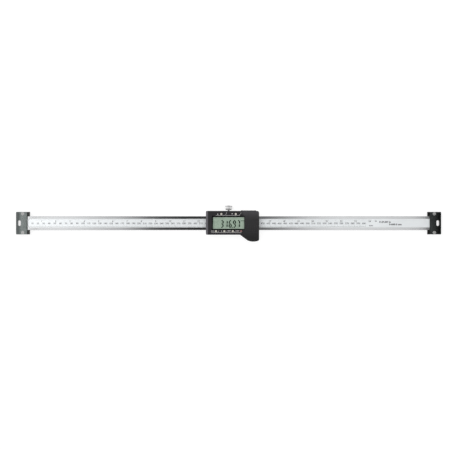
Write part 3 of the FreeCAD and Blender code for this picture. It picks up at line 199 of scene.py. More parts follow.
class ScaleSettings(PropertyGroup):
    graduations: PointerProperty(type=GraduationSettings, name="Graduations")
    display: PointerProperty(type=DisplaySettings, name="Display")
    film: PointerProperty(type=PrintSettings, name="Film print")
    finishes: PointerProperty(type=FinishSettings, name="Finishes")
    stage: PointerProperty(type=StageSettings, name="Stage")


# Meshes

def add_slab(mesh, outline, base, thick):
    """A closed prism over an outline of (x, y) points that runs anticlockwise, from the height base up."""
    low = [mesh.verts.new((x, y, base)) for x, y in outline]
    high = [mesh.verts.new((x, y, base + thick)) for x, y in outline]
    mesh.faces.new(low[::-1])
    mesh.faces.new(high)
    for here in range(len(outline)):
        after = (here + 1) % len(outline)
        mesh.faces.new((low[here], low[after], high[after], high[here]))


def rectangle(low, high):
    """The corners of a rectangle, anticlockwise."""
    return [(low[0], low[1]), (high[0], low[1]), (high[0], high[1]), (low[0], high[1])]


def add_ring(mesh, outer, inner, base, thick):
    """A closed frame between two anticlockwise outlines of as many points, from the height base up."""
    rings = [[mesh.verts.new((x, y, z)) for x, y in outline]
             for outline, z in ((outer, base), (outer, base + thick), (inner, base + thick), (inner, base))]
    for ring, beyond in zip(rings, rings[1:] + rings[:1]):
        for here in range(len(ring)):
            after = (here + 1) % len(ring)
            mesh.faces.new((ring[here], ring[after], beyond[after], beyond[here]))


def add_stroke(mesh, points, width, base, thick):
    """A line of one width along (x, y) points, mitred where it turns."""
    points = [Vector(point) for point in points]
    sides = []
    for here, point in enumerate(points):
        before = (point - points[here - 1]).normalized() if here else None
        after = (points[here + 1] - point).normalized() if here + 1 < len(points) else None
        along = ((before or after) + (after or before)).normalized()
        across = Vector((-along.y, along.x))
        square = Vector((-(after or before).y, (after or before).x))
        sides.append(across * (width / 2 / across.dot(square)))
    right = [point - side for point, side in zip(points, sides)]
    left = [point + side for point, side in zip(points, sides)]
    add_slab(mesh, [tuple(point) for point in right + left[::-1]], base, thick)


def add_letters(mesh, text, place, height, base, thick, boldness=0.025, side="CENTER"):
    """Upright letters at a place, as closed slabs, made bolder by a share of their height."""
    cap_share, spacing, curve_steps = 0.69, 1.8, 3
    line = bpy.data.curves.new("letters", "FONT")
    line.body = text
    line.size = height / cap_share
    line.align_x = side
    line.align_y = "CENTER"
    line.extrude = thick / 2
    line.offset = height * boldness
    line.space_character = 1 + spacing * boldness
    line.resolution_u = curve_steps
    holder = bpy.data.objects.new("letters", line)
    letters = bpy.data.meshes.new_from_object(holder)
    letters.transform(Matrix.Translation((place[0], place[1], base + thick / 2)))
    mesh.from_mesh(letters)
    bpy.data.objects.remove(holder)
    bpy.data.curves.remove(line)
    bpy.data.meshes.remove(letters)


def add_piece(name, mesh, material, body):
    """Turn a mesh under work into a piece that moves with a body."""
    weld = 1e-7
    bmesh.ops.remove_doubles(mesh, verts=mesh.verts, dist=weld)
    data = bpy.data.meshes.new(name)
    mesh.to_mesh(data)
    mesh.free()
    data.materials.append(material)
    piece = bpy.data.objects.new(name, data)
    bpy.context.scene.collection.objects.link(piece)
    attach(piece, body)


# Finishes

# Scale of a wave texture that gives one band to the metre
ONE_BAND = 2 * math.pi / 20


def times(share, tint):
    """A colour with its strength multiplied, kept within full strength."""
    return [min(1.0, share * part) for part in tint]


class Finish:
    """A node material that is built up from the inputs of its shader. Sizes are in metres."""

    def __init__(self, name, constants):
        self.material = bpy.data.materials.new(name)
        self.material.use_nodes = True
        self.tree = self.material.node_tree
        self.shader = self.tree.nodes["Principled BSDF"]
        for socket, value in constants.items():
            self.shader.inputs[socket].default_value = value

    def feed(self, socket, value):
        """Join another node's output to a socket, or set the socket's own number."""
        if isinstance(value, bpy.types.NodeSocket):
            self.tree.links.new(value, socket)
        else:
            socket.default_value = value

    def add(self, kind, inputs, **settings):
        """A node with its settings and inputs."""
        node = self.tree.nodes.new(kind)
        for name, value in settings.items():
            setattr(node, name, value)
        for name, value in inputs.items():
            self.feed(node.inputs[name], value)
        return node

    def place(self, stretch=(1.0, 1.0, 1.0)):
        """The place on the object, in the frame's axes."""
        where = self.add("ShaderNodeTexCoord", {}).outputs["Object"]
        return self.add("ShaderNodeMapping", {"Vector": where, "Scale": stretch}).outputs["Vector"]

    def axes(self, vector):
        """The parts of a vector along X, Y and Z."""
        return self.add("ShaderNodeSeparateXYZ", {"Vector": vector}).outputs

    def noise(self, size, detail=3.0, stretch=(1.0, 1.0, 1.0)):
        """Random grain of a size, spread over 0 to 1."""
        low, high = 0.3, 0.7
        grain = self.add("ShaderNodeTexNoise", {"Vector": self.place(stretch), "Scale": 1 / size,
                                                "Detail": detail}).outputs["Fac"]
        return self.between(grain, 0.0, 1.0, low, high)

    def cells(self, size, feature="F1", stretch=(1.0, 1.0, 1.0)):
        """Distance from the middles or edges of random cells of a size."""
        return self.add("ShaderNodeTexVoronoi", {"Vector": self.place(stretch), "Scale": 1 / size},
                        feature=feature).outputs["Distance"]

    def bands(self, pitch, axis):
        """Even bands across an axis, from 0 to 1."""
        return self.add("ShaderNodeTexWave", {"Vector": self.place(), "Scale": ONE_BAND / pitch},
                        bands_direction=axis).outputs["Fac"]

    def between(self, factor, low, high, start=0.0, end=1.0):
        """A number that runs from low to high as the factor goes from start to end."""
        return self.add("ShaderNodeMapRange", {"Value": factor, "From Min": start, "From Max": end,
                                               "To Min": low, "To Max": high}).outputs["Result"]

    def mix(self, factor, first, second):
        """A colour between two."""
        # The node's colour sockets share their names with its other sockets, so they go by number
        first_socket, second_socket, result_socket = 6, 7, 2
        node = self.tree.nodes.new("ShaderNodeMix")
        node.data_type = "RGBA"
        self.feed(node.inputs["Factor"], factor)
        for socket, value in ((first_socket, first), (second_socket, second)):
            shade = value if isinstance(value, bpy.types.NodeSocket) else (*value, 1.0)
            self.feed(node.inputs[socket], shade)
        return node.outputs[result_socket]

    def shades(self, factor, tint, dark, light):
        """One colour, from dark to light times its strength."""
        return self.mix(factor, times(dark, tint), times(light, tint))

    def edges(self, width):
        """1 along sharp edges and 0 on open faces."""
        flat_dot, edge_dot = 0.995, 0.88
        rounded = self.add("ShaderNodeBevel", {"Radius": width}, samples=6).outputs["Normal"]
        plain = self.add("ShaderNodeNewGeometry", {}).outputs["Normal"]
        turn = self.add("ShaderNodeVectorMath", {0: rounded, 1: plain}, operation="DOT_PRODUCT")
        return self.between(turn.outputs["Value"], 0.0, 1.0, flat_dot, edge_dot)

    def product(self, first, second):
        """Two factors multiplied."""
        return self.add("ShaderNodeMath", {0: first, 1: second}, operation="MULTIPLY").outputs["Value"]

    def relief(self, height, depth, strength=1.0):
        """Raise the surface by a height pattern of a depth."""
        bump = self.add("ShaderNodeBump", {"Height": height, "Distance": depth, "Strength": strength})
        self.set("Normal", bump.outputs["Normal"])

    def set(self, socket, value):
        """Feed one of the shader's sockets."""
        self.feed(self.shader.inputs[socket], value)


def ground_steel(look):
    """Steel with fine grinding lines along the beam and a few long scratches."""
    finish = Finish("ground_steel", {"Metallic": 1.0})
    along = (0.006, 1.0, 1.0)
    lines = finish.noise(0.22 * MM, detail=4.0, stretch=along)
    cloud = finish.noise(25 * MM)
    streaks = finish.noise(0.5 * MM, detail=1.0, stretch=(0.02, 1.0, 1.0))
    scratches = finish.between(streaks, 0.0, 1.0, 0.93, 1.0)
    tone = finish.shades(lines, look.steel, 0.95, 1.03)
    finish.set("Base Color", finish.mix(scratches, tone, times(0.8, look.steel)))
    finish.set("Roughness", finish.between(finish.product(lines, cloud), 0.045, 0.085))
    finish.relief(lines, 0.0003 * MM)
    return finish.material


def circuit_board(look):
    """Green board with traces, pads and fine glass weave."""
    finish = Finish("circuit_board", {"Coat Weight": 0.4, "Coat Roughness": 0.15})
    trace = finish.between(finish.cells(1.6 * MM, "DISTANCE_TO_EDGE"), 1.0, 0.0, 0.06, 0.09)
    pads = finish.between(finish.cells(2.6 * MM), 1.0, 0.0, 0.12, 0.14)
    weave = finish.product(finish.bands(0.35 * MM, "X"), finish.bands(0.35 * MM, "Y"))
    mask = finish.shades(weave, (0.012, 0.085, 0.035), 0.85, 1.1)
    traced = finish.mix(trace, mask, (0.03, 0.16, 0.06))
    finish.set("Base Color", finish.mix(pads, traced, (0.55, 0.42, 0.16)))
    finish.set("Metallic", pads)
    finish.set("Roughness", finish.between(weave, 0.34, 0.44))
    finish.relief(trace, 0.02 * MM, 0.6)
    return finish.material


def white_film(look):
    """White printed film, a little cloudy, with a soft satin shine."""
    finish = Finish("white_film", {"Metallic": 0.31})
    cloud = finish.noise(14 * MM, stretch=(0.4, 1.0, 1.0))
    grain = finish.noise(0.12 * MM, detail=2.0)
    finish.set("Base Color", finish.shades(finish.product(cloud, grain), look.strip, 1.02, 0.95))
    finish.set("Roughness", finish.between(cloud, 0.16, 0.24))
    finish.relief(grain, 0.001 * MM)
    return finish.material


def anodised(name, tint, rubbed=None):
    """Dyed aluminium, finely blasted, worn bright along its edges, and paler with painted reflection where
    a pattern is given.
    """
    finish = Finish(name, {"Metallic": 1.0})
    blast = finish.noise(0.09 * MM, detail=2.0)
    cloud = finish.noise(6 * MM)
    chips = finish.between(finish.noise(0.8 * MM, detail=4.0), 0.0, 1.0, 0.45, 0.85)
    wear = finish.product(finish.edges(0.22 * MM), chips)
    dye_and_reflection = finish.shades(cloud, tint, 0.9, 1.1)
    # Painted reflection: where the pattern is 1, the tone turns paler, as a bright mirrored screen would
    # make it.
    if rubbed:
        dye_and_reflection = finish.mix(rubbed(finish), dye_and_reflection, finish.shades(cloud, tint, 1.9, 2.2))
    finish.set("Base Color", finish.mix(wear, dye_and_reflection, times(2.2, tint)))
    finish.set("Roughness", finish.between(blast, 0.05, 0.08))
    finish.relief(blast, 0.0005 * MM)
    return finish.material


# The bases: anodising in the darker tint, which is painted shade beside the caps.
def black_anodised(look):
    return anodised("black_anodised", look.anodised)


def rubbed_caps(finish):
    """Where a bracket cap gets painted reflection: 1 on its open face, 0 along its inner edge and its outer
    third.
    """
    inner_start, inner_end = CAP_INSIDE + 0.6 * MM, CAP_INSIDE + 1.6 * MM
    outer_start, outer_end = CAP_OUTSIDE - 9.5 * MM, CAP_OUTSIDE - 5 * MM
    along = finish.axes(finish.place())["X"]
    outward = finish.add("ShaderNodeMath", {0: along}, operation="ABSOLUTE").outputs["Value"]
    from_inside = finish.between(outward, 0.0, 1.0, inner_start, inner_end)
    from_outside = finish.between(outward, 1.0, 0.0, outer_start, outer_end)
    return finish.product(from_inside, from_outside)


# The caps: the same anodising as the bases, paler across their open face as painted reflection.
def rubbed_anodised(look):
    return anodised("rubbed_anodised", look.cap, rubbed_caps)


def plated(name, tint, smooth, rough, grain_size, dull=None):
    """Plated metal with faint tool marks and cloudy tarnish, darker with painted shade where a pattern is
    given.
    """
    finish = Finish(name, {"Metallic": 1.0})
    marks = finish.noise(grain_size, stretch=(1.0, 1.0, 0.2))
    cloud = finish.noise(1.8 * MM, detail=4.0)
    tone = finish.shades(cloud, tint, 0.88, 1.05)
    # Painted shade: where the pattern is 1, the tone darkens to about a third.
    if dull:
        tone = finish.mix(dull(finish), tone, finish.shades(cloud, tint, 0.3, 0.4))
    finish.set("Base Color", tone)
    finish.set("Roughness", finish.between(finish.product(marks, cloud), smooth, rough))
    finish.relief(marks, 0.002 * MM)
    return finish.material


def nickel_screws(look):
    return plated("nickel_screws", (0.37, 0.37, 0.365), smooth=0.36, rough=0.5, grain_size=0.1 * MM)


def zinc_screws(look):
    return plated("zinc_screws", (0.60, 0.63, 0.66), smooth=0.22, rough=0.4, grain_size=0.12 * MM)


def brass_alloy(look):
    return plated("brass_alloy", (0.78, 0.57, 0.25), smooth=0.18, rough=0.36, grain_size=0.15 * MM)


def thumb_screw_rings(finish):
    """Where the thumb screw gets painted shade: fully on its collar and neck, partly in a ring on its rim.
    """
    ring_high, ring_low = KNOB_TOP - 1.3 * MM, KNOB_TOP - 3.1 * MM
    rim_low = KNOB_TOP - 6.4 * MM
    blend = 0.15 * MM
    ring_share = 0.55
    height = finish.axes(finish.place())["Y"]
    collar = finish.between(height, 1.0, 0.0, rim_low - blend, rim_low)
    ring = finish.product(finish.between(height, 0.0, ring_share, ring_low - blend, ring_low + blend),
                          finish.between(height, 1.0, 0.0, ring_high - blend, ring_high + blend))
    return finish.add("ShaderNodeMath", {0: collar, 1: ring}, operation="ADD").outputs["Value"]


# The thumb screw: satin chrome with painted shade on its collar, neck and a ring on its rim.
def chromed_steel(look):
    return plated("chromed_steel", (0.82, 0.82, 0.82), smooth=0.36, rough=0.46, grain_size=0.1 * MM,
                  dull=thumb_screw_rings)


def spring_metal(look):
    return plated("spring_metal", (0.72, 0.69, 0.62), smooth=0.2, rough=0.34, grain_size=0.2 * MM)


def gold_plating(look):
    return plated("gold_plating", (0.86, 0.64, 0.28), smooth=0.16, rough=0.3, grain_size=0.1 * MM)


def cast_alloy(look):
    """Die cast metal with a dull rough skin and brighter rubbed edges."""
    finish = Finish("cast_alloy", {"Metallic": 1.0})
    skin = finish.noise(0.35 * MM, detail=5.0)
    cloud = finish.noise(7 * MM)
    dull = finish.shades(cloud, (0.42, 0.43, 0.44), 0.85, 1.1)
    rubbed = finish.product(finish.edges(0.3 * MM), skin)
    finish.set("Base Color", finish.mix(rubbed, dull, (0.66, 0.66, 0.66)))
    finish.set("Roughness", finish.between(skin, 0.36, 0.52))
    finish.relief(skin, 0.012 * MM)
    return finish.material


def black_plastic(look):
    """Black grained plastic with rubbed edges, painted shade at the foot and painted highlights on its left
    bevel and grip top.
    """
    # Shares of the plastic's tone: painted shade at the foot, painted highlights on the grip top and the
    # left bevel, and wear on rubbed edges.
    foot_low, foot_high, foot_shade_share = -26 * MM, -8 * MM, 0.1
    top_low, top_high, top_highlight_share = 6 * MM, 22 * MM, 4.2
    grip_start, grip_end = 14 * MM, 26 * MM
    rubbed_share, bevel_highlight_share = 2.2, 9.0
    finish = Finish("black_plastic", {"Specular IOR Level": 0.3})
    grain = finish.noise(0.16 * MM, detail=4.0)
    cloud = finish.noise(9 * MM)
    rub = finish.edges(0.35 * MM)
    # Painted highlight: faces that lean left and up are made paler, as if lit from that side.
    facing = finish.axes(finish.add("ShaderNodeNewGeometry", {}).outputs["Normal"])
    bevel = finish.product(finish.between(facing["X"], 1.0, 0.0, -0.4, -0.1),
                           finish.between(facing["Z"], 0.0, 1.0, 0.3, 0.6))
    place = finish.axes(finish.place())
    # Painted shade darkens the foot, and painted highlight pales the grip's top, as light from above would.
    above_foot = finish.between(place["Y"], 0.0, 1.0, foot_low, foot_high)
    grip_top_highlight = finish.product(finish.between(place["Y"], 0.0, 1.0, top_low, top_high),
                              finish.between(place["X"], 0.0, 1.0, grip_start, grip_end))
    base = finish.shades(cloud, look.plastic, 0.85, 1.2)
    base = finish.mix(above_foot, times(foot_shade_share, look.plastic), base)
    base = finish.mix(grip_top_highlight, base, times(top_highlight_share, look.plastic))
    rubbed = finish.mix(rub, base, times(rubbed_share, look.plastic))
    finish.set("Base Color", finish.mix(bevel, rubbed, times(bevel_highlight_share, look.plastic)))
    finish.set("Roughness", finish.between(finish.product(grain, cloud), 0.42, 0.58))
    finish.relief(grain, 0.008 * MM, 0.7)
    return finish.material


def printed_film(look):
    """Dark polyester film with a velvet grain and a slight sheen."""
    finish = Finish("printed_film", {"Specular IOR Level": 0.3})
    grain = finish.noise(0.07 * MM, detail=2.0)
    cloud = finish.noise(12 * MM)
    finish.set("Base Color", finish.shades(cloud, look.film, 0.9, 1.15))
    finish.set("Roughness", finish.between(grain, 0.3, 0.4))
    finish.relief(grain, 0.0015 * MM)
    return finish.material


def clear_lens(look):
    """Clear window: what lies behind shows through, and its face mirrors the lights."""
    finish = Finish("clear_lens", {"Base Color": (1.0, 1.0, 1.0, 1.0), "Metallic": 1.0})
    smear = finish.noise(9 * MM, stretch=(0.5, 1.0, 1.0))
    finish.set("Roughness", finish.between(smear, 0.02, 0.07))
    through = finish.add("ShaderNodeBsdfTransparent", {"Color": (0.985, 0.99, 0.985, 1.0)})
    gloss = finish.add("ShaderNodeFresnel", {"IOR": 1.49}).outputs["Fac"]
    inside = finish.add("ShaderNodeNewGeometry", {}).outputs["Backfacing"]
    share = finish.product(gloss, finish.between(inside, 1.0, 0.0))
    pane = finish.add("ShaderNodeMixShader", {0: share, 1: through.outputs["BSDF"],
                                              2: finish.shader.outputs["BSDF"]})
    finish.feed(finish.tree.nodes["Material Output"].inputs["Surface"], pane.outputs["Shader"])
    return finish.material


def display_glass(look):
    """Unlit liquid crystal over its reflector: grey green, with faint rubbing lines."""
    finish = Finish("display_glass", {"Coat Weight": 0.3, "Coat Roughness": 0.08})
    lines = finish.noise(0.12 * MM, detail=2.0, stretch=(1.0, 0.03, 1.0))
    cloud = finish.noise(16 * MM)
    sparkle = finish.noise(0.05 * MM, detail=1.0)
    tone = finish.shades(finish.product(lines, sparkle), look.glass, 1.02, 0.94)
    finish.set("Base Color", finish.mix(cloud, tone, times(1.06, look.glass)))
    finish.set("Roughness", finish.between(cloud, 0.35, 0.45))
    finish.relief(lines, 0.0005 * MM)
    return finish.material


def moulded(name, tint, smooth, rough, grain_size):
    """Moulded plastic with a soft uneven skin."""
    finish = Finish(name, {})
    grain = finish.noise(grain_size)
    cloud = finish.noise(2.5 * MM)
    finish.set("Base Color", finish.shades(cloud, tint, 0.92, 1.06))
    finish.set("Roughness", finish.between(grain, smooth, rough))
    finish.relief(grain, 0.004 * MM, 0.6)
    return finish.material


def white_plastic(look):
    return moulded("white_plastic", (0.72, 0.71, 0.68), smooth=0.34, rough=0.46, grain_size=0.2 * MM)


def connector_plastic(look):
    return moulded("connector_plastic", (0.03, 0.03, 0.032), smooth=0.32, rough=0.5, grain_size=0.15 * MM)


def black_epoxy(look):
    return moulded("black_epoxy", (0.015, 0.015, 0.016), smooth=0.12, rough=0.28, grain_size=0.9 * MM)


def pale_plastic(look):
    return moulded("pale_plastic", look.key, smooth=0.3, rough=0.42, grain_size=0.12 * MM)


def red_plastic(look):
    return moulded("red_plastic", look.power_key, smooth=0.3, rough=0.42, grain_size=0.12 * MM)


def conductive_rubber(look):
    """Rubber of thin black and white layers along its length."""
    finish = Finish("conductive_rubber", {})
    layers = finish.between(finish.bands(0.2 * MM, "X"), 0.0, 1.0, 0.4, 0.6)
    grain = finish.noise(0.1 * MM)
    finish.set("Base Color", finish.mix(layers, (0.02, 0.02, 0.022), (0.42, 0.41, 0.4)))
    finish.set("Roughness", finish.between(grain, 0.6, 0.8))
    finish.relief(layers, 0.01 * MM, 0.5)
    return finish.material


def cell_steel(look):
    """Drawn steel can with rings turned about the cell's middle."""
    finish = Finish("cell_steel", {"Metallic": 1.0})
    middle = (CELL_LOW + CELL_HIGH) / 2
    where = finish.add("ShaderNodeTexCoord", {}).outputs["Object"]
    shifted = finish.add("ShaderNodeVectorMath", {0: where, 1: tuple(middle)}, operation="SUBTRACT")
    ring_pitch = 0.25 * MM
    rings = finish.add("ShaderNodeTexWave", {"Vector": shifted.outputs["Vector"],
                                             "Scale": ONE_BAND / ring_pitch, "Distortion": 1.5},
                       wave_type="RINGS", rings_direction="Z").outputs["Fac"]
    cloud = finish.noise(4 * MM)
    finish.set("Base Color", finish.shades(cloud, (0.70, 0.70, 0.68), 0.92, 1.04))
    finish.set("Roughness", finish.between(finish.product(rings, cloud), 0.16, 0.3))
    finish.relief(rings, 0.001 * MM)
    return finish.material


FINISHES = {make.__name__: make for make in (
    ground_steel, circuit_board, white_film, black_anodised, rubbed_anodised, nickel_screws, zinc_screws,
    cast_alloy, brass_alloy, chromed_steel, black_plastic, printed_film, clear_lens, display_glass,
    white_plastic, connector_plastic, conductive_rubber, black_epoxy, spring_metal, cell_steel,
    gold_plating, pale_plastic, red_plastic)}


def ink(name, tint):
    """Screen printed ink, a little thin in places."""
    finish = Finish(name, {})
    thin = finish.noise(0.25 * MM)
    finish.set("Base Color", finish.shades(thin, tint, 0.9, 1.15))
    finish.set("Roughness", finish.between(thin, 0.38, 0.52))
    finish.relief(thin, 0.001 * MM)
    return finish.material


def flat_tone(name, tint):
    """A tone without shine, a little uneven, for the display's segments and the window's border."""
    finish = Finish(name, {"Specular IOR Level": 0.0})
    cloud = finish.noise(1.2 * MM, detail=2.0)
    finish.set("Base Color", finish.shades(cloud, tint, 0.85, 1.2))
    finish.set("Roughness", finish.between(cloud, 0.3, 0.4))
    return finish.material


made_finishes = {}


def dress(look, *names, other=None):
    """Give each node the finish of its slot, or another one."""
    for name in names:
        slot = other or SLOT_OF[name]
        if slot not in made_finishes:
            made_finishes[slot] = FINISHES[slot](look)
        skin = NODES[name].data.materials
        skin.clear()
        skin.append(made_finishes[slot])


# Graduations

def draw_ticks(sizes, name, pitch, count, material, from_low):
    """Ticks along one edge of the strip, longer at each fifth and tenth."""
    mesh = bmesh.new()
    for number in range(count + 1):
        reach = sizes.long if number % 10 == 0 else sizes.middle if number % 5 == 0 else sizes.short
        middle = sizes.zero + number * pitch
        low = LABEL_LOW.y + sizes.edge if from_low else LABEL_HIGH.y - sizes.edge - reach
        corners = (middle - sizes.tick / 2, low), (middle + sizes.tick / 2, low + reach)
        add_slab(mesh, rectangle(*corners), LABEL_HIGH.z, sizes.thick)
    add_piece(name, mesh, material, "frame")


INCH = 25.4 * MM
TICKS_PER_INCH = 10
MILLIMETRES_PER_FIGURE = 10
# The unit signs and the two range marks: middle along and across the beam and letter height, all in
# millimetres, and boldness
RANGE_PLACES = ((253.4, -4.2, 2.9, 0.04), (262.0, 3.8, 2.9, 0.04), (278.3, 2.0, 3.0, 0.075),
                (296.8, -2.4, 2.8, 0.08))


class LINEAR_SCALE_OT_graduations(Operator):
    """Draw the millimetre and inch ticks on the strip"""
    bl_idname = "linear_scale.graduations"
    bl_label = "Graduations"

    def execute(self, context):
        settings = context.scene.linear_scale
        sizes = settings.graduations
        material = ink("strip_ink", settings.finishes.ink)
        draw_ticks(sizes, "millimetre_ticks", MM, sizes.millimetres, material, from_low=True)
        inch_pitch, inch_count = INCH / TICKS_PER_INCH, sizes.inches * TICKS_PER_INCH
        draw_ticks(sizes, "inch_ticks", inch_pitch, inch_count, material, from_low=False)
        return {"FINISHED"}


class LINEAR_SCALE_OT_figures(Operator):
    """Print the figures, units and range on the strip"""
    bl_idname = "linear_scale.figures"
    bl_label = "Strip figures"

    def execute(self, context):
        settings = context.scene.linear_scale
        sizes = settings.graduations
        material = bpy.data.materials["strip_ink"]
        base = LABEL_HIGH.z
        mesh = bmesh.new()
        step = MILLIMETRES_PER_FIGURE
        for number in range(step, sizes.millimetres + 1, step):
            place = (sizes.zero + number * MM - sizes.millimetre_shift, sizes.millimetre_row)
            add_letters(mesh, str(number), place, sizes.figure, base, sizes.thick)
        add_piece("millimetre_figures", mesh, material, "frame")
        mesh = bmesh.new()
        for number in range(1, sizes.inches + 1):
            place = (sizes.zero + number * INCH - sizes.inch_shift, sizes.inch_row)
            add_letters(mesh, str(number), place, sizes.figure, base, sizes.thick)
        add_piece("inch_figures", mesh, material, "frame")
        mesh = bmesh.new()
        signs = ("mm", "in", f"0-{sizes.inches}.00 in", f"0-{sizes.millimetres}.0 mm")
        for text, (x, y, height, boldness) in zip(signs, RANGE_PLACES):
            add_letters(mesh, text, (x * MM, y * MM), height * MM, base, sizes.thick, boldness)
        add_piece("range_marks", mesh, material, "frame")
        return {"FINISHED"}


# Display figures

SEGMENT_ENDS = {"a": ((0, 2), (1, 2)), "b": ((1, 1), (1, 2)), "c": ((1, 0), (1, 1)), "d": ((0, 0), (1, 0)),
                "e": ((0, 0), (0, 1)), "f": ((0, 1), (0, 2)), "g": ((0, 1), (1, 1))}
DIGIT_SEGMENTS = {"0": "abcdef", "1": "bc", "2": "abdeg", "3": "abcdg", "4": "bcfg", "5": "acdfg",
                  "6": "acdefg", "7": "abc", "8": "abcdefg", "9": "abcdfg"}


def leaning(sizes, x, y):
    """A point of an upright digit, moved aside by the digits' lean."""
    return x + (y - sizes.high) * math.tan(sizes.lean), y


def add_segment(mesh, sizes, left, ends, base, thick, shift):
    """One bar of a digit, pointed at both ends."""
    gap_share = 0.12
    half, gap = sizes.bar / 2, sizes.bar * gap_share
    across, upward = sizes.wide - sizes.bar, (sizes.high - sizes.low - sizes.bar) / 2
    start, end = [Vector((left + half + u * across, sizes.low + half + v * upward)) for u, v in ends]
    along = (end - start).normalized()
    side = Vector((-along.y, along.x)) * half
    start, end = start + along * gap, end - along * gap
    inner_start, inner_end = start + along * half, end - along * half
    outline = [start, inner_start - side, inner_end - side, end, inner_end + side, inner_start + side]
    points = [leaning(sizes, *point) for point in outline]
    add_slab(mesh, [(x + shift[0], y + shift[1]) for x, y in points], base, thick)


def draw_digits(sizes, name, reading, material, thick, shift=(0.0, 0.0)):
    """A reading in bar digits, written from its right end, with a dot where the reading has one."""
    mesh = bmesh.new()
    left = sizes.right - sizes.wide
    for sign in reversed(reading):
        if sign == ".":
            dot_left = left + sizes.pitch - (sizes.pitch - sizes.wide + sizes.dot) / 2
            corners = rectangle((dot_left, sizes.low), (dot_left + sizes.dot, sizes.low + sizes.dot))
            points = [leaning(sizes, x, y) for x, y in corners]
            add_slab(mesh, [(x + shift[0], y + shift[1]) for x, y in points], PANEL_TOP, thick)
            continue
        for letter in DIGIT_SEGMENTS[sign]:
            add_segment(mesh, sizes, left, SEGMENT_ENDS[letter], PANEL_TOP, thick, shift)
        left -= sizes.pitch
    add_piece(name, mesh, material, "slider")


class LINEAR_SCALE_OT_reading(Operator):
    """Show the reading on the display, with the shadows and unlit segments behind it"""
    bl_idname = "linear_scale.reading"
    bl_label = "Display reading"

    def execute(self, context):
        settings = context.scene.linear_scale
        sizes, look = settings.display, settings.finishes
        unlit_share, shadow_share = 0.94, 0.55
        unlit = flat_tone("unlit", times(unlit_share, look.glass))
        draw_digits(sizes, "unlit_segments", "8" * sizes.places, unlit, sizes.unlit_thick)
        shadow = flat_tone("shadow", times(shadow_share, look.glass))
        draw_digits(sizes, "segment_shadows", sizes.reading, shadow, sizes.shadow_thick,
                    (sizes.shadow_x, sizes.shadow_y))
        lit = flat_tone("lit", look.figure)
        draw_digits(sizes, "lit_segments", sizes.reading, lit, sizes.lit_thick)
        mesh = bmesh.new()
        add_letters(mesh, "mm", (sizes.sign_x, sizes.sign_y), sizes.sign, PANEL_TOP, sizes.lit_thick)
        add_piece("unit_sign", mesh, lit, "slider")
        return {"FINISHED"}


class LINEAR_SCALE_OT_window_border(Operator):
    """Print the black border on the display window and on the film round it"""
    bl_idname = "linear_scale.window_border"
    bl_label = "Window border"

    def execute(self, context):
        settings = context.scene.linear_scale
        sizes = settings.display
        mesh = bmesh.new()
        inset = Vector((sizes.border_side, sizes.border_edge))
        outer = rectangle(LENS_LOW.xy, LENS_HIGH.xy)
        inner = rectangle(LENS_LOW.xy + inset, LENS_HIGH.xy - inset)
        add_ring(mesh, outer, inner, LENS_HIGH.z, sizes.border_thick)
        width = sizes.border_film
        far = sizes.border_gap + width
        left, right = LENS_LOW.x - far, FILM_HIGH.x - sizes.border_short
        low, high = LENS_LOW.y - far, LENS_HIGH.y + far
        add_slab(mesh, [(left, low), (right, low), (right, low + width), (left + width, low + width),
                        (left + width, high - width), (right, high - width), (right, high), (left, high)],
                 FILM_HIGH.z, sizes.border_thick)
        add_piece("window_border", mesh, flat_tone("border_ink", settings.finishes.border), "slider")
        return {"FINISHED"}


# Film print

UPPER_KEYS = ("preset_up_button", "preset_down_button")
LOWER_KEYS = ("units_button", "zero_button", "set_button", "power_button")
# Label, share of the letter height, millimetres from the label's end to the middle of its key
LOWER_LABELS = (("mm/in", 0.8, 2.7), ("0", 1.0, 4.4), ("SET", 1.0, 3.6), ("OFF", 1.0, 3.6))


def key_middle(name):
    """Middle of a key, across the front."""
    low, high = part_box(name)
    return (low + high) / 2


def key_lines(names, row, tip, lead, bend, reach, gap):
    """Lines that follow each other under a row of keys, each with a slash up beside its key."""
    lines = []
    start = key_middle(names[0]).x - lead
    for name in names:
        middle = key_middle(name).x
        lines.append([(start, row), (middle + bend, row), (middle + reach, tip)])
        start = middle + bend + gap
    return lines


def add_arrow(mesh, x, y, size, upwards, base, thick):
    """A solid triangle that points up or down."""
    tip = size if upwards else -size
    outline = [(x - size, y - tip), (x + size, y - tip), (x, y + tip)]
    add_slab(mesh, outline if upwards else outline[::-1], base, thick)


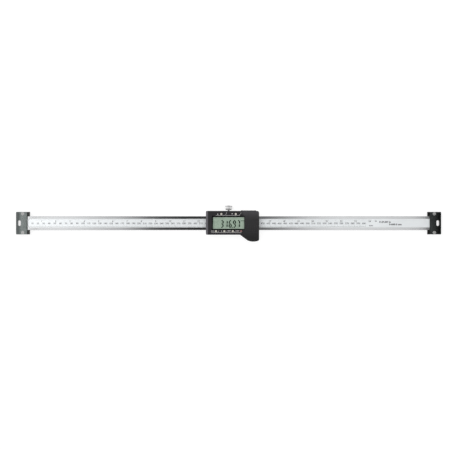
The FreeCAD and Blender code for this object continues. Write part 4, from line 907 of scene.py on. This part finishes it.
class LINEAR_SCALE_OT_film_print(Operator):
    """Print the lines, arrows and labels of the keys on the film"""
    bl_idname = "linear_scale.film_print"
    bl_label = "Film print"

    def execute(self, context):
        settings = context.scene.linear_scale
        sizes = settings.film
        grey = ink("film_ink", settings.finishes.print_ink)
        red = ink("power_ink", settings.finishes.power_ink)
        ruled = bmesh.new()
        upper = key_lines(UPPER_KEYS, sizes.upper_line, sizes.upper_tip, sizes.upper_lead, sizes.upper_bend,
                          sizes.upper_reach, sizes.line_gap)
        lower = key_lines(LOWER_KEYS, sizes.lower_line, sizes.lower_tip, sizes.lower_lead, sizes.lower_bend,
                          sizes.lower_reach, sizes.line_gap)
        lower[-1][1:] = [(key_middle(LOWER_KEYS[-1]).x + sizes.line_end, sizes.lower_line)]
        for line in upper + lower:
            add_stroke(ruled, line, sizes.stroke, FILM_HIGH.z, sizes.thick)
        arrows = bmesh.new()
        for name in UPPER_KEYS:
            key = key_middle(name)
            add_arrow(arrows, key.x - sizes.arrow_shift, key.y, sizes.arrow, name == UPPER_KEYS[0],
                      FILM_HIGH.z, sizes.thick)
        for name, (label, share, gap) in zip(LOWER_KEYS, LOWER_LABELS):
            key = key_middle(name)
            letters = bmesh.new()
            add_letters(letters, label, (key.x - gap * MM, key.y + sizes.letter_rise), sizes.letter * share,
                        FILM_HIGH.z, sizes.thick, side="RIGHT")
            add_piece(name.replace("button", "label"), letters, red if name == LOWER_KEYS[-1] else grey,
                      "slider")
        add_piece("key_lines", ruled, grey, "slider")
        add_piece("key_arrows", arrows, grey, "slider")
        return {"FINISHED"}


# Dressing of the nodes

class LINEAR_SCALE_OT_dress_beam(Operator):
    """Finish the beam, its grating strip and the white film on it"""
    bl_idname = "linear_scale.dress_beam"
    bl_label = "Beam and strip"

    def execute(self, context):
        dress(context.scene.linear_scale.finishes, "beam", "stator_strip", "scale_label")
        return {"FINISHED"}


class LINEAR_SCALE_OT_dress_brackets(Operator):
    """Finish the end brackets and their screws"""
    bl_idname = "linear_scale.dress_brackets"
    bl_label = "End brackets"

    def execute(self, context):
        look = context.scene.linear_scale.finishes
        for side in ("left", "right"):
            dress(look, f"{side}_bracket_base", f"{side}_cap_screws", f"{side}_beam_screws")
            dress(look, f"{side}_bracket_cap", other="rubbed_anodised")
        return {"FINISHED"}


class LINEAR_SCALE_OT_dress_carriage(Operator):
    """Finish the carriage round the beam, its plate, gib and screws"""
    bl_idname = "linear_scale.dress_carriage"
    bl_label = "Carriage"

    def execute(self, context):
        dress(context.scene.linear_scale.finishes, "carriage", "back_plate", "back_plate_screws",
              "gib_strip", "gib_screws")
        return {"FINISHED"}


class LINEAR_SCALE_OT_dress_lock(Operator):
    """Finish the thumb screw and the pad that it presses"""
    bl_idname = "linear_scale.dress_lock"
    bl_label = "Thumb screw"

    def execute(self, context):
        dress(context.scene.linear_scale.finishes, "lock_screw", "lock_pad")
        return {"FINISHED"}


class LINEAR_SCALE_OT_dress_housing(Operator):
    """Finish the housing, its film, covers and screws"""
    bl_idname = "linear_scale.dress_housing"
    bl_label = "Housing"

    def execute(self, context):
        dress(context.scene.linear_scale.finishes, "front_housing", "front_film", "housing_screws",
              "battery_cover", "data_port_cover")
        return {"FINISHED"}


class LINEAR_SCALE_OT_dress_display(Operator):
    """Finish the display, its window, holder and rubber contact strip"""
    bl_idname = "linear_scale.dress_display"
    bl_label = "Display"

    def execute(self, context):
        dress(context.scene.linear_scale.finishes, "display_lens", "display_panel", "display_holder",
              "zebra_strip")
        return {"FINISHED"}


class LINEAR_SCALE_OT_dress_keys(Operator):
    """Finish the six keys"""
    bl_idname = "linear_scale.dress_keys"
    bl_label = "Keys"

    def execute(self, context):
        dress(context.scene.linear_scale.finishes, *UPPER_KEYS, *LOWER_KEYS)
        return {"FINISHED"}


class LINEAR_SCALE_OT_dress_electronics(Operator):
    """Finish the boards and what is soldered to them"""
    bl_idname = "linear_scale.dress_electronics"
    bl_label = "Electronics"

    def execute(self, context):
        dress(context.scene.linear_scale.finishes, "main_board", "sensor_board", "board_screws",
              "board_headers", "controller_chip", "dome_switches", "data_contacts")
        return {"FINISHED"}


class LINEAR_SCALE_OT_dress_battery(Operator):
    """Finish the coin cell, its tray and contacts, and mark the cell's upper pole"""
    bl_idname = "linear_scale.dress_battery"
    bl_label = "Battery"

    def execute(self, context):
        dress(context.scene.linear_scale.finishes, "coin_cell", "battery_tray", "negative_contact",
              "positive_contact")
        arm, half, depth, rise = 1.6 * MM, 0.22 * MM, 0.02 * MM, 4.2 * MM
        x_middle, y_middle = (CELL_LOW.x + CELL_HIGH.x) / 2, CELL_LOW.y + rise
        mesh = bmesh.new()
        corners = [(arm, half), (half, half), (half, arm)]
        outline = []
        for turn in range(4):
            quarter = Matrix.Rotation(turn * math.pi / 2, 2)
            outline += [quarter @ Vector(corner) for corner in corners]
        add_slab(mesh, [(x_middle + x, y_middle + y) for x, y in outline], CELL_HIGH.z, depth)
        add_piece("cell_pole_mark", mesh, ink("etched_mark", (0.16, 0.16, 0.16)), "slider")
        return {"FINISHED"}


# Stage

def stage_plane(name, left, right, low, high, z, material):
    """A flat sheet of the stage."""
    data = bpy.data.meshes.new(name)
    corners = [(x, y, z) for x, y in rectangle((left, low), (right, high))]
    data.from_pydata(corners, [], [(0, 1, 2, 3)])
    data.materials.append(material)
    sheet = bpy.data.objects.new(name, data)
    bpy.context.scene.collection.objects.link(sheet)


# The screen over the beam: places along it in millimetres, and a factor on its brightness there.
# It is dark about the camera and beyond the right end, and polished metal mirrors that.
SCREEN_SHADES = ((-900, 1.8), (-726, 1.8), (-717, 0.35), (-700, 0.55), (-685, 0.76), (-660, 0.86),
                 (-600, 0.92), (-440, 0.66), (-355, 0.52), (-315, 0.34),
                 (-270, 0.13), (-200, 0.07), (-110, 0.03), (60, 0.07),
                 (150, 0.20), (220, 0.44), (310, 0.72), (400, 0.84), (600, 0.76), (704, 0.68), (722, 0.02),
                 (1500, 0.02), (1600, 0.9))
# The tent: heights on it, from 0 at the horizon to 1 overhead, and a factor on its brightness there
TENT_SHADES = ((0.0, 0.2), (0.65, 0.36), (0.88, 1.0), (1.0, 1.0))


def grey_ramp(tree, place, shades):
    """A grey that follows a place through the shades, and the factor that its white stands for."""
    first, last = shades[0][0], shades[-1][0]
    peak = max(shade for spot, shade in shades)
    greys = [(*[shade / peak] * 3, 1.0) for spot, shade in shades]
    spread = tree.nodes.new("ShaderNodeMapRange")
    spread.inputs["From Min"].default_value = first
    spread.inputs["From Max"].default_value = last
    tree.links.new(place, spread.inputs["Value"])
    ramp = tree.nodes.new("ShaderNodeValToRGB")
    tree.links.new(spread.outputs["Result"], ramp.inputs["Fac"])
    stops = ramp.color_ramp.elements
    for (spot, shade), grey in zip(shades[1:-1], greys[1:-1]):
        stops.new((spot - first) / (last - first)).color = grey
    stops[0].color, stops[-1].color = greys[0], greys[-1]
    return ramp.outputs["Color"], peak


def screen_cloth(brightness):
    """Lit cloth that is shaded along the beam."""
    finish = Finish("screen_cloth", {"Base Color": (0.0, 0.0, 0.0, 1.0), "Specular IOR Level": 0.0})
    along = finish.axes(finish.place((1 / MM, 1.0, 1.0)))["X"]
    shade, peak = grey_ramp(finish.tree, along, SCREEN_SHADES)
    finish.set("Emission Color", shade)
    finish.set("Emission Strength", brightness * peak)
    return finish.material


def white_tent(brightness):
    """A white tent all round, dimmer low down."""
    world = bpy.data.worlds.new("white_tent")
    world.use_nodes = True
    tree = world.node_tree
    split = tree.nodes.new("ShaderNodeSeparateXYZ")
    tree.links.new(tree.nodes.new("ShaderNodeTexCoord").outputs["Generated"], split.inputs["Vector"])
    shade, peak = grey_ramp(tree, split.outputs["Z"], TENT_SHADES)
    tree.links.new(shade, tree.nodes["Background"].inputs["Color"])
    tree.nodes["Background"].inputs["Strength"].default_value = brightness * peak
    return world


class LINEAR_SCALE_OT_stage(Operator):
    """Set the pale floor, the screen over the beam, the white tent, the lamp and the camera"""
    bl_idname = "linear_scale.stage"
    bl_label = "Stage"

    def execute(self, context):
        scene = context.scene
        sizes = scene.linear_scale.stage
        paper = moulded("floor_paper", sizes.floor, smooth=0.8, rough=0.95, grain_size=3 * MM)
        lit = paper.node_tree.nodes["Principled BSDF"].inputs
        lit["Emission Color"].default_value = (1.0, 1.0, 1.0, 1.0)
        lit["Emission Strength"].default_value = sizes.glow
        half = sizes.floor_half
        stage_plane("floor", -half, half, -half, half, CAD_BOX[0].z, paper)
        left, right = [place * MM for place in (SCREEN_SHADES[0][0], SCREEN_SHADES[-1][0])]
        half = sizes.screen_half
        stage_plane("screen", left, right, -half, half, BEAM_TOP + sizes.height + sizes.screen_gap,
                    screen_cloth(sizes.screen))
        scene.world = white_tent(sizes.tent)

        lamp = bpy.data.lights.new("soft_lamp", "AREA")
        lamp.shape = "DISK"
        lamp.size = sizes.lamp_size
        lamp.energy = sizes.lamp
        holder = bpy.data.objects.new("soft_lamp", lamp)
        holder.location = sizes.lamp_place
        holder.rotation_euler = (-holder.location).to_track_quat("-Z", "Y").to_euler()
        scene.collection.objects.link(holder)

        eye = bpy.data.cameras.new("photo_view")
        eye.lens = eye.sensor_width * sizes.height / sizes.width
        eye.clip_end = sizes.view_end
        camera = bpy.data.objects.new("photo_view", eye)
        camera.location = (sizes.aim_x, sizes.aim_y, BEAM_TOP + sizes.height)
        scene.collection.objects.link(camera)
        scene.camera = camera
        scene.view_settings.view_transform = "Standard"
        return {"FINISHED"}


class LINEAR_SCALE_PT_dressing(Panel):
    """The settings and steps of the linear scale"""
    bl_label = "Linear Scale"
    bl_space_type = "VIEW_3D"
    bl_region_type = "UI"
    bl_category = "Scale"

    def draw(self, context):
        settings = context.scene.linear_scale
        for name in settings.__annotations__:
            group = getattr(settings, name)
            box = self.layout.box()
            box.label(text=settings.bl_rna.properties[name].name)
            for size in group.__annotations__:
                box.prop(group, size)
        for step in STEPS:
            self.layout.operator(step.bl_idname)


STEPS = (
    LINEAR_SCALE_OT_graduations, LINEAR_SCALE_OT_figures, LINEAR_SCALE_OT_reading,
    LINEAR_SCALE_OT_window_border, LINEAR_SCALE_OT_film_print, LINEAR_SCALE_OT_dress_beam,
    LINEAR_SCALE_OT_dress_brackets, LINEAR_SCALE_OT_dress_carriage, LINEAR_SCALE_OT_dress_lock,
    LINEAR_SCALE_OT_dress_housing, LINEAR_SCALE_OT_dress_display, LINEAR_SCALE_OT_dress_keys,
    LINEAR_SCALE_OT_dress_electronics, LINEAR_SCALE_OT_dress_battery, LINEAR_SCALE_OT_stage,
)
GROUPS = (GraduationSettings, DisplaySettings, PrintSettings, FinishSettings, StageSettings, ScaleSettings)
CLASSES = (*GROUPS, *STEPS, LINEAR_SCALE_PT_dressing)


def register():
    for made in CLASSES:
        bpy.utils.register_class(made)
    bpy.types.Scene.linear_scale = PointerProperty(type=ScaleSettings)


def unregister():
    del bpy.types.Scene.linear_scale
    for made in reversed(CLASSES):
        bpy.utils.unregister_class(made)


def main():
    register()
    bpy.ops.linear_scale.graduations()
    bpy.ops.linear_scale.figures()
    bpy.ops.linear_scale.reading()
    bpy.ops.linear_scale.window_border()
    bpy.ops.linear_scale.film_print()
    bpy.ops.linear_scale.dress_beam()
    bpy.ops.linear_scale.dress_brackets()
    bpy.ops.linear_scale.dress_carriage()
    bpy.ops.linear_scale.dress_lock()
    bpy.ops.linear_scale.dress_housing()
    bpy.ops.linear_scale.dress_display()
    bpy.ops.linear_scale.dress_keys()
    bpy.ops.linear_scale.dress_electronics()
    bpy.ops.linear_scale.dress_battery()
    bpy.ops.linear_scale.stage()


if __name__ == "__main__":
    main()
